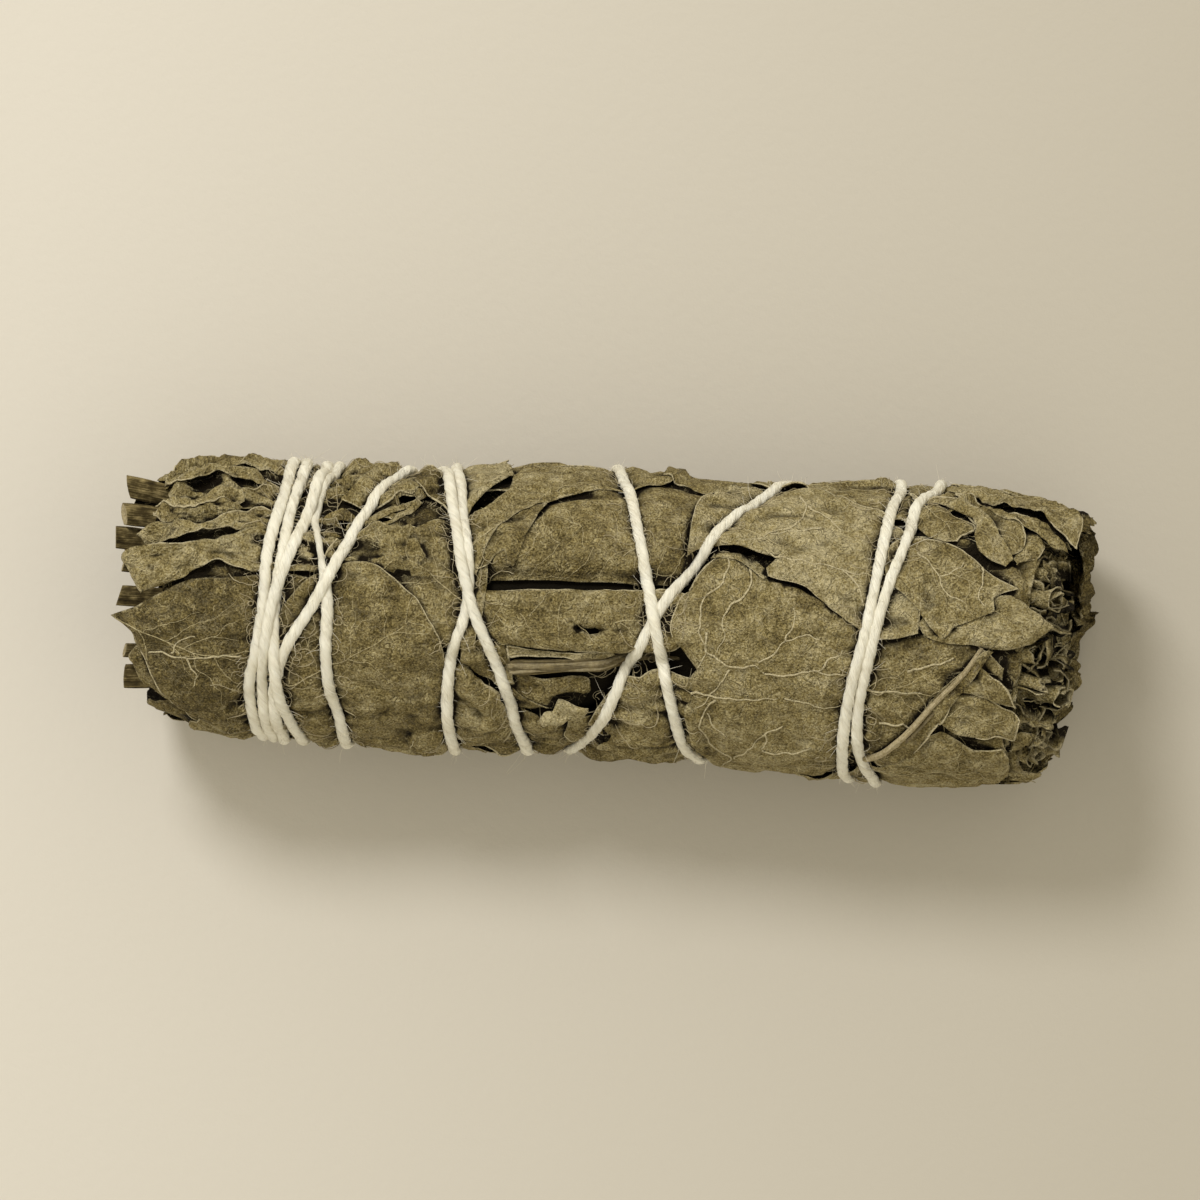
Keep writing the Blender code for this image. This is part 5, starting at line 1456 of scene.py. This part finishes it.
def stem_mesh(first, last, radius, rng, sides, bend=0.25):
    """A twig with ribbed bark and a slanting cut end with its pith."""
    axis = (last - first) / np.linalg.norm(last - first)
    side = np.cross(axis, (0.1, 0.3, 0.95))
    side /= np.linalg.norm(side)
    up = np.cross(side, axis)
    length = np.linalg.norm(last - first)
    steps = np.concatenate([[0, 0.12], np.arange(0.5, length, 0.7)])
    turns = np.linspace(0, 2 * math.pi, sides, endpoint=False)
    ribs = sum(rng.uniform(0.3, 1) * np.cos(k * turns + rng.uniform(0, 6.3)) for k in (2, 3, 5, 7, 9, 11))
    ribs = 0.035 * ribs
    slant = rng.uniform(-0.35, 0.35, 2)
    rings, grain, pale = [], [], []

    def ring(centre, scale, along, recess, lightness):
        reach = radius * scale * (1 + ribs * scale)
        offsets = reach[:, None] * (np.cos(turns)[:, None] * side + np.sin(turns)[:, None] * up)
        tilt = (slant[0] * np.cos(turns) + slant[1] * np.sin(turns)) * reach * max(0.0, 1 - along / 2)
        rings.append(centre + offsets + (tilt + recess)[:, None] * axis)
        grain.append(np.stack([np.full(sides, along * 0.25), np.cos(turns) * 4 * scale,
                               np.sin(turns) * 4 * scale], 1))
        pale.append(np.full(sides, lightness))

    for scale, recess in ((0.06, 0.5), (0.2, 0.45), (0.26, 0.1), (0.6, 0.02), (0.84, 0.0), (0.95, -0.02)):
        ring(first, scale, 0, recess, 0.15 if scale < 0.22 else (0.9 if scale < 0.9 else 0.4))
    wander = bend * radius
    for along in steps:
        share = along / length
        centre = first + axis * along + wander * math.sin(3 * share + 1) * side * share
        ring(centre, 1.0 + 0.03 * math.sin(along * 1.3), along, 0.0, 0.12 if along == 0 else 0.0)
    into = Mesh()
    into.add(np.concatenate(rings), ring_faces(len(rings), sides), grain_place=np.concatenate(grain),
             pale=np.concatenate(pale))
    return into


def add_twig(into, x, angle, height, radius, lightness, rng, sides=10):
    """A thin ribbed strip of wood along (x, angle) places, at a height over the axis."""
    centre = place(x, angle, height)
    turns = np.linspace(0, 2 * math.pi, sides, endpoint=False)
    ribs = 1 + sum(rng.uniform(0.02, 0.07) * np.cos(k * turns + rng.uniform(0, 6)) for k in (2, 3, 5))
    ahead = unit(np.gradient(centre, axis=0))
    side = unit(np.cross(ahead, (0, 0, 1.0)))
    up = np.cross(side, ahead)
    reach = np.asarray(radius)[:, None] * ribs[None]
    rings = centre[:, None] + reach[..., None] * (np.cos(turns)[None, :, None] * side[:, None]
                                                 + np.sin(turns)[None, :, None] * up[:, None])
    along = np.concatenate([[0], np.cumsum(np.linalg.norm(np.diff(centre, axis=0), axis=1))])
    grain = np.stack(np.broadcast_arrays(along[:, None] * 0.22, np.cos(turns)[None] * 3 + rng.uniform(0, 30),
                                         np.sin(turns)[None] * 3), -1)
    into.add(rings.reshape(-1, 3), ring_faces(len(x), sides), grain_place=grain.reshape(-1, 3),
             pale=np.full(len(x) * sides, lightness))


def add_surface_twigs():
    """The split stem lying in the open slit and the loose midrib at the right."""
    wood = stem_material()
    rng = np.random.default_rng(12)
    stem = Mesh()
    for offset, sink, radius, lightness, first, last in (
            (1.9, 0.35, 0.30, 0.15, -9.3, 8.6), (0.6, 0.1, 0.36, 0.55, -9.4, 4.6),
                                                         (-0.5, 0.0, 0.34, 0.2, -9.1, 9.8),
            (-1.7, 0.1, 0.30, 0.75, -9.2, 2.4), (-2.7, 0.45, 0.34, 0.1, -8.4, 7.0),
                                                         (0.2, 0.8, 0.5, 0.0, -9.0, 10.2)):
        count = int((last - first) / 0.4)
        x = np.linspace(first, last, count)
        share = (x + 9.4) / 19.6
        squeeze = 1 - 0.45 * share
        angle = -24.0 + 7.2 * share + (offset + rng.normal(0,
                                                           0.15)) * squeeze + 0.35 * np.sin(x * 0.5 + offset)
        height = leaf_radius(x) - 0.75 - sink + 0.08 * np.sin(x * 0.9 + offset
                                                              * 2) - 0.35 * share - 1.8 * np.clip((x
                                                                                                   - 0.5) / 2.5, 0, 1)
        thin = radius * (1 - 0.35 * share) * np.clip((x - first) / 0.5 + 0.6, 0,
                                                     1) * np.clip((last - x) / 0.8 + 0.35, 0, 1)
        add_twig(stem, x, angle, height, thin, lightness, rng)
    piece = stem.build("stem_in_slit_wood", wood)
    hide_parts("stem_in_slit")
    steps = np.linspace(0, 1, 56)
    x, angle = 29.6 + 11.6 * steps, -62.5 + 58.5 * steps + 0.8 * np.sin(steps * 5)
    height = blurred_line(ground(x, angle) + sample(HEIGHT, x, angle), 3)
    rib = Mesh()
    add_twig(rib, x - 0.25, angle, height + 0.24, 0.40 - 0.12 * steps, 0.95, rng)
    add_twig(rib, x + 0.55, angle - 0.4, height + 0.02, 0.2 - 0.06 * steps, 0.5, rng)
    piece = rib.build("midrib_wood", wood)
    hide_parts("midrib")


# ---------------------------------------------------------------- leaves rolled into tubes at the right end

# Name, X from and to, angle from and to, radius from and to, how deep the roll's top lies, its open end's upward
# tilt in degrees, and if it is a CAD piece.
ROLLED = [
    ("rolled_leaf_1", 41.0, 46.7, -9.5, -7.2, 0.5, 1.2, 0.9, 18, True),
    ("rolled_leaf_2", 40.8, 47.6, -18.4, -19.6, 1.3, 0.95, 0.35, 46, True),
    ("small_roll_1", 43.4, 48.8, 21.0, 17.5, 0.8, 1.45, 0.1, 34, False),
    ("small_roll_2", 45.4, 50.2, -26.0, -26.5, 0.9, 1.35, 1.0, 34, False),
    ("small_roll_3", 44.4, 48.2, -47.0, -48.5, 0.9, 1.4, 0.6, 30, False),
    ("small_roll_4", 44.6, 48.2, 33.0, 31.0, 0.6, 1.0, 1.3, 20, False),
    ("small_roll_5", 45.0, 49.4, -3.5, -4.5, 0.7, 1.0, 2.6, 30, False),
    ("small_roll_6", 44.0, 47.4, -62.0, -62.0, 0.9, 1.3, 0.7, 30, False),
    ("small_roll_7", 45.0, 48.2, 8.0, 9.0, 0.6, 0.9, 3.0, 20, False),
]


def add_rolled_leaves():
    for number, (name, x0, x1, a0, a1, r0, r1, depth, tilt, cad) in enumerate(ROLLED):
        rng = np.random.default_rng(800 + number)
        into = Mesh()
        add_roll(into, x0, x1, a0, a1, r0, r1, depth, math.radians(tilt), rng)
        piece = into.build(f"{name}_blade", LEAF)
        if cad:
            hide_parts(name)


def add_roll(into, x0, x1, a0, a1, r0, r1, depth, tilt, rng, thickness=0.16):
    """One leaf rolled up along X, with a crinkled open end at x1."""
    round_count, along_count = 54, max(int(abs(x1 - x0) / 0.22), 10)
    turn = np.linspace(0, 2 * math.pi * 1.55, round_count)
    share = np.linspace(0, 1, along_count)
    end = np.clip((share - 0.7) / 0.3, 0, 1) ** 2
    jag = 0.32 * wavy(rng, round_count, 1.6) * 2.2 + 0.25 * np.sin(turn + rng.uniform(0, 6))
    crinkle = wavy(rng, round_count, 1.3) * 1.8
    creases = wavy(rng, round_count, 3.0) * 2.2
    start_turn = rng.uniform(0, 6.3)
    flatten = rng.uniform(0.65, 0.95)
    lean = rng.uniform(0, math.pi)
    u, v = np.meshgrid(share, turn, indexing="ij")
    radius = (r0 + (r1 - r0) * u) * (1 - 0.42 * v / turn[-1])
    radius = radius * (1 + 0.08 * creases[None] + 0.05 * np.sin(5 * u + v) + end[:,
                                                                                 None]
                       * (0.16 * crinkle[None] + 0.10))
    y, z = radius * np.cos(v + start_turn), radius * np.sin(v + start_turn)
    along_lean, across_lean = y * math.cos(lean) + z * math.sin(lean), -y * math.sin(lean) + z * math.cos(lean)
    across_lean = across_lean * flatten
    y = along_lean * math.cos(lean) - across_lean * math.sin(lean)
    z = along_lean * math.sin(lean) + across_lean * math.cos(lean)
    x = x0 + (x1 - x0) * u + end[:, None] * jag[None]
    angle = a0 + (a1 - a0) * share
    lean_up = (tilt * share ** 2)[:, None]
    rise = abs(x1 - x0) * math.tan(tilt) * (1 - share ** 3) / 3
    reach = leaf_radius(x0 + (x1 - x0) * share) - depth - r1 - rise
    middle = place(x0 + (x1 - x0) * share, angle, reach)
    shrink = 1 - thickness / np.maximum(radius, 0.3)
    outer, inner = [np.stack([x - z * scale * np.sin(lean_up), middle[:, 1:2] + y * scale,
                              middle[:, 2:3] + z * scale * np.cos(lean_up)],
                             -1) for scale in (np.ones_like(shrink), shrink)]
    points = np.concatenate([outer.reshape(-1, 3), inner.reshape(-1, 3)])
    r, c = np.meshgrid(np.arange(along_count - 1), np.arange(round_count - 1), indexing="ij")
    a = (r * round_count + c).ravel()
    top = np.stack([a, a + 1, a + 1 + round_count, a + round_count], 1)
    half = along_count * round_count
    faces = [top, top[:, ::-1] + half]
    for line in (np.arange(round_count), np.arange(round_count) + (along_count - 1) * round_count,
                 np.arange(along_count) * round_count,
                 np.arange(along_count) * round_count + round_count - 1):
        p, q = line[:-1], line[1:]
        faces.append(np.stack([p, q, q + half, p + half], 1))
    # A painted highlight lightens the open end's edge, and painted shade darkens the roll's inner face.
    rim = np.clip((1 - u) * abs(x1 - x0) / 1.2, 0, 1).ravel()
    pale = 0.55 * (u > 0.985).ravel()
    own = np.stack([x.ravel(), (v * r1).ravel(), np.full(x.size, rng.uniform(0, 40))], 1)
    into.add(points, faces, vein_place=np.concatenate([own, own]), rim=np.concatenate([rim, rim]),
             tint=np.full(2 * x.size, 0.05), pale=np.concatenate([pale, pale]),
             depth=np.concatenate([np.full(x.size, -0.1), np.where(u.ravel() > 0.97, 0.1, 0.34)]))


# ---------------------------------------------------------------- underside

def add_resting_leaves():
    """Folded leaves pressed flat under the stick, where it lies."""
    for number, (name, first, last) in enumerate((("resting_leaf_left", -45.5, -37.2),
                                                  ("resting_leaf_middle", 1.5, 16.0),
                                                  ("resting_leaf_right", 35.5, 45.5))):
        middle = (first + last) / 2
        corners = [(first, -180), (first + 2, -196), (middle, -199), (last - 2, -195), (last, -179),
                   (last - 1.5, -165), (middle, -161), (first + 1.5, -166)]
        add_leaf_piece(name, corners, 900 + number,
                       dict(depth=-0.3, crumple=0.05, lift=0.1, ragged=0.1, spacing=0.8))


# ---------------------------------------------------------------- string

STRING_TOP = None


def string_centres():
    """The string's distance from the axis at each of its places: pressed into the leaves, over lower strands."""
    global STRING_TOP
    surface = GROUND + HEIGHT
    across = ROW_DEGREES * ARC
    centres = np.zeros(len(STRING_X))
    offsets = [(dr, dc) for dr in range(-2, 3) for dc in range(-2, 3)
               if math.hypot(dr * across, dc * CELL) < STRING_RADIUS - 0.02]
    for rank in range(int(STRING_RANK.max()) + 1):
        edges = np.flatnonzero(np.diff(np.concatenate([[0], (STRING_RANK == rank).astype(int), [0]])))
        for first, last in zip(edges[::2], edges[1::2]):
            x, angle = STRING_X[first:last], STRING_ANGLE[first:last]
            row = (((angle + 180) % 360) / ROW_DEGREES)
            column = (x - GRID_X0) / CELL
            r0, c0 = np.round(row).astype(int), np.round(column).astype(int)
            best = np.full(len(x), -1e9)
            for dr, dc in offsets:
                ds = (r0 + dr - row) * across
                dx = (c0 + dc - column) * CELL
                drop = np.sqrt(np.maximum(STRING_RADIUS ** 2 - ds ** 2 - dx ** 2, 0))
                best = np.maximum(best, surface[(r0 + dr) % GRID_ROWS, c0 + dc] + 0.75 * drop - 0.18)
            taut = blurred_line(best, 3.0)
            taut = np.maximum(taut, best - 0.10)
            taut = blurred_line(taut, 2.0)
            centres[first:last] = taut
            for dr, dc in [(dr, dc) for dr in range(-3, 4) for dc in range(-3, 4)]:
                ds = (r0 + dr - row) * across
                dx = (c0 + dc - column) * CELL
                reach = STRING_RADIUS ** 2 - ds ** 2 - dx ** 2
                rise = np.where(reach > 0, taut + np.sqrt(np.maximum(reach, 0)) * 0.9, -1e9)
                np.maximum.at(surface, ((r0 + dr) % GRID_ROWS, c0 + dc), rise)
    STRING_TOP = surface
    return blurred_line(centres, 1.5)


def string_place(x, angle, radius):
    """Points in mm of the string's middle line, which stays its own radius above the resting surface."""
    turned = np.radians(angle)
    down = np.maximum(-np.cos(turned), 0.25)
    limit = (AXIS_Z - STRING_RADIUS - 0.04) / down
    pressed = (radius ** -30 + limit ** -30) ** (-1 / 30)
    radius = np.where(-np.cos(turned) > 0.25, pressed, radius)
    return np.stack([x, radius * np.sin(turned), AXIS_Z + radius * np.cos(turned)], -1)


def add_string():
    """The wound cotton string: three plies twisted together, with loose fibres."""
    centres = string_centres()
    around = np.abs((STRING_ANGLE + 180) % 360 - 180)
    path = string_place(STRING_X, STRING_ANGLE, centres + 0.4 * np.exp(-((around - 88) / 13) ** 2))
    count = len(path)
    sides = 14
    turns = np.linspace(0, 2 * math.pi, sides, endpoint=False)
    ply, reach_out = 0.13, 0.465
    from_ply = np.abs((turns * 3 / (2 * math.pi)) % 1 - 0.5) * 2 * math.pi / 3
    lobe = ply * np.cos(from_ply) + np.sqrt(reach_out ** 2 - (ply * np.sin(from_ply)) ** 2)
    rng = np.random.default_rng(31)
    travelled = np.arange(count) * STRING_STEP
    twist = 2 * math.pi * travelled / 5.4 + 0.5 * wavy(rng, count, 9) * 3
    thick = 1 + 0.05 * wavy(rng, count, 5) * 3
    thick = thick - 0.4 * np.exp(-((STRING_ANGLE + 2 * 360 - 26) / 13) ** 4)
    ahead = unit(np.gradient(path, axis=0))
    outward = path - np.array([0, 0, AXIS_Z]) * np.array([0, 0, 1])
    outward[:, 0] = 0
    outward /= np.linalg.norm(outward, axis=1, keepdims=True)
    side = unit(np.cross(ahead, outward))
    up = np.cross(side, ahead)
    angle = turns[None] + twist[:, None]
    bumps = 1 + 0.05 * wavy(rng, count * sides, 1.5).reshape(count, sides)
    reach = lobe[None] * thick[:, None] * bumps
    rings = path[:, None] + reach[..., None] * (1.1 * np.cos(angle)[..., None] * side[:, None]
                                                + 0.92 * np.sin(angle)[..., None] * up[:, None])
    grain = np.stack(np.broadcast_arrays(travelled[:, None] * 0.35,
                                         np.cos(turns)[None] * 5 * np.ones((count, 1)),
                                         np.sin(turns)[None] * 5 * np.ones((count, 1))), -1)
    into = Mesh()
    into.add(rings.reshape(-1, 3), ring_faces(count, sides), grain_place=grain.reshape(-1, 3))
    cotton = string_material()
    piece = into.build("cotton_string_plies", cotton)
    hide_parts("cotton_string")
    add_knot(cotton, path)
    add_loose_cotton(path, side, up)


def add_knot(cotton, path):
    """The knot at the back that ties the string's two ends."""
    low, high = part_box("string_knot")
    middle = np.array([(low[i] + high[i]) / 2 / MM for i in range(3)])
    t = np.linspace(0, 2 * math.pi, 90)
    loop = np.stack([np.sin(t) + 2 * np.sin(2 * t), np.cos(t) - 2 * np.cos(2 * t), -np.sin(3 * t)], 1) * 0.52
    outward = (middle - np.array([middle[0], 0, AXIS_Z]))
    outward /= np.linalg.norm(outward)
    along = np.array([1.0, 0, 0])
    round_way = np.cross(outward, along)
    knot = middle + outward * 0.2 + loop[:, :1] * along + loop[:, 1:2] * round_way + loop[:,
                                                                                          2:3] * 0.7 * outward
    into = Mesh()
    for points, radius in ((knot, 0.5),
                           (np.linspace(path[0], middle, 12), 0.5),
                           (np.linspace(path[-1], middle, 12), 0.5),
                           (bent_tail(middle, along * 1.0 + round_way * 0.5, outward), 0.42),
                           (bent_tail(middle, -along * 0.7 + round_way * 0.9, outward), 0.42)):
        shape, faces = tube(points, radius, 12)
        s = np.repeat(np.arange(len(points)) * 0.3, 12)
        turn = np.tile(np.linspace(0, 2 * math.pi, 12, endpoint=False), len(points)) + s * 1.3
        into.add(shape, faces, grain_place=np.stack([s * 0.35, np.cos(turn) * 5, np.sin(turn) * 5], 1))
    piece = into.build("string_knot_loops", cotton)
    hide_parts("string_knot")


def bent_tail(start, way, outward):
    t = np.linspace(0, 1, 16)[:, None]
    return start + way / np.linalg.norm(way) * t * 5.0 + outward * (0.9 * np.sin(t * 3.1) - 0.7 * t)


def add_loose_cotton(path, side, up):
    """Fine fibres that stand off the string."""
    rng = np.random.default_rng(41)
    into = Mesh()
    for _ in range(4600):
        at = rng.integers(3, len(path) - 3)
        turn = rng.uniform(0, 2 * math.pi)
        away = math.cos(turn) * side[at] + math.sin(turn) * up[at]
        along = path[at + 1] - path[at - 1]
        along /= np.linalg.norm(along)
        way = away * rng.uniform(0.25, 1.0) + along * rng.uniform(-1, 1)
        way /= np.linalg.norm(way)
        curl = rng.normal(0, 1, 3) * 0.5
        length = rng.uniform(0.3, 0.9) if rng.random() < 0.85 else rng.uniform(0.9, 2.2)
        t = np.linspace(0, 1, 4)[:, None]
        points = path[at] + away * 0.4 + way * length * t + curl * length * t ** 2 * 0.6
        if points[:, 2].min() < 0.1:
            continue
        shape, faces = tube(points, np.linspace(0.03, 0.014, 4), 3)
        into.add(shape, faces)
    piece = into.build("string_fibres",
                       plain_fibre_material("cotton_fibre", (0.70, 0.64, 0.5), (0.85, 0.8, 0.68)))


def add_leaf_fibres():
    """Curly plant fibres caught beside the string."""
    rng = np.random.default_rng(43)
    into = Mesh()
    for _ in range(1300):
        at = rng.integers(0, len(STRING_X))
        x = STRING_X[at] + rng.normal(0, 0.95)
        s = STRING_ANGLE[at] * ARC + rng.normal(0, 0.95)
        heading = rng.uniform(0, 2 * math.pi)
        bend = rng.normal(0, 0.9)
        points = []
        for _ in range(rng.integers(8, 22)):
            points.append((x, s))
            heading += bend * 0.35 + rng.normal(0, 0.2)
            x += 0.24 * math.cos(heading)
            s += 0.24 * math.sin(heading)
        points = np.array(points)
        angle = points[:, 1] / ARC
        height = ground(points[:, 0], angle) + sample(HEIGHT, points[:, 0], angle)
        hop = 0.05 + 0.12 * np.abs(np.sin(np.linspace(0, 3.1, len(points)) + rng.uniform(0, 1)))
        thick = rng.uniform(0.028, 0.055)
        shape, faces = tube(place(points[:, 0], angle, height + hop), thick, 3)
        into.add(shape, faces)
    piece = into.build("plant_fibres",
                       plain_fibre_material("plant_fibre", (0.22, 0.17, 0.08), (0.62, 0.54, 0.36)))


# ---------------------------------------------------------------- floor, light and camera

def add_stage():
    floor_mesh = bpy.data.meshes.new("floor")
    reach = 1.5
    floor_mesh.from_pydata([(-reach, -reach, 0), (reach, -reach, 0), (reach, reach, 0), (-reach, reach, 0)],
                           [],
                           [(0, 1, 2, 3)])
    floor_mesh.materials.append(floor_material())
    floor = bpy.data.objects.new("floor", floor_mesh)
    bpy.context.scene.collection.objects.link(floor)
    world = bpy.data.worlds.new("soft_studio")
    world.use_nodes = True
    world.node_tree.nodes["Background"].inputs["Color"].default_value = (1.0, 0.95, 0.795, 1)
    world.node_tree.nodes["Background"].inputs["Strength"].default_value = 0.74
    bpy.context.scene.world = world
    add_lamp("key", (-0.36, 0.56, 0.83), 0.30, 6.2, (0.98, 0.985, 1.0))
    add_lamp("fill", (0.5, -0.4, 1.2), 1.0, 0.4, (1.0, 0.98, 0.95))


def add_lamp(name, position, size, power, colour):
    light = bpy.data.lights.new(name, "AREA")
    light.shape = "DISK"
    light.size = size
    light.energy = power
    light.color = colour
    lamp = bpy.data.objects.new(name, light)
    lamp.location = position
    lamp.rotation_euler = (Vector((0, 0, 0.015)) - Vector(position)).to_track_quat("-Z", "Y").to_euler()
    bpy.context.scene.collection.objects.link(lamp)


def add_camera():
    """Straight above the stick, turned three degrees, as wide as 129 mm at the stick's middle height."""
    camera = bpy.data.cameras.new("camera")
    camera.sensor_width = 36
    camera.lens = 500
    eye = bpy.data.objects.new("camera", camera)
    distance = 0.1289 * camera.lens / camera.sensor_width
    roll = math.radians(3.0)
    shift = 0.1074 * MM * 17
    eye.location = (-shift * math.sin(-roll), shift * math.cos(roll), AXIS_Z * MM + distance)
    eye.rotation_euler = (0, 0, roll)
    bpy.context.scene.collection.objects.link(eye)
    bpy.context.scene.camera = eye
    camera.clip_end = 10


bpy.context.scene.view_settings.view_transform = "Standard"
add_camera()
add_wrapped_leaves()
add_resting_leaves()
add_core()
add_end_sheets()
add_end_ribbons()
add_stems()
add_surface_twigs()
add_rolled_leaves()
add_string()
shade_laid_leaves()
add_leaf_fibres()
add_stage()
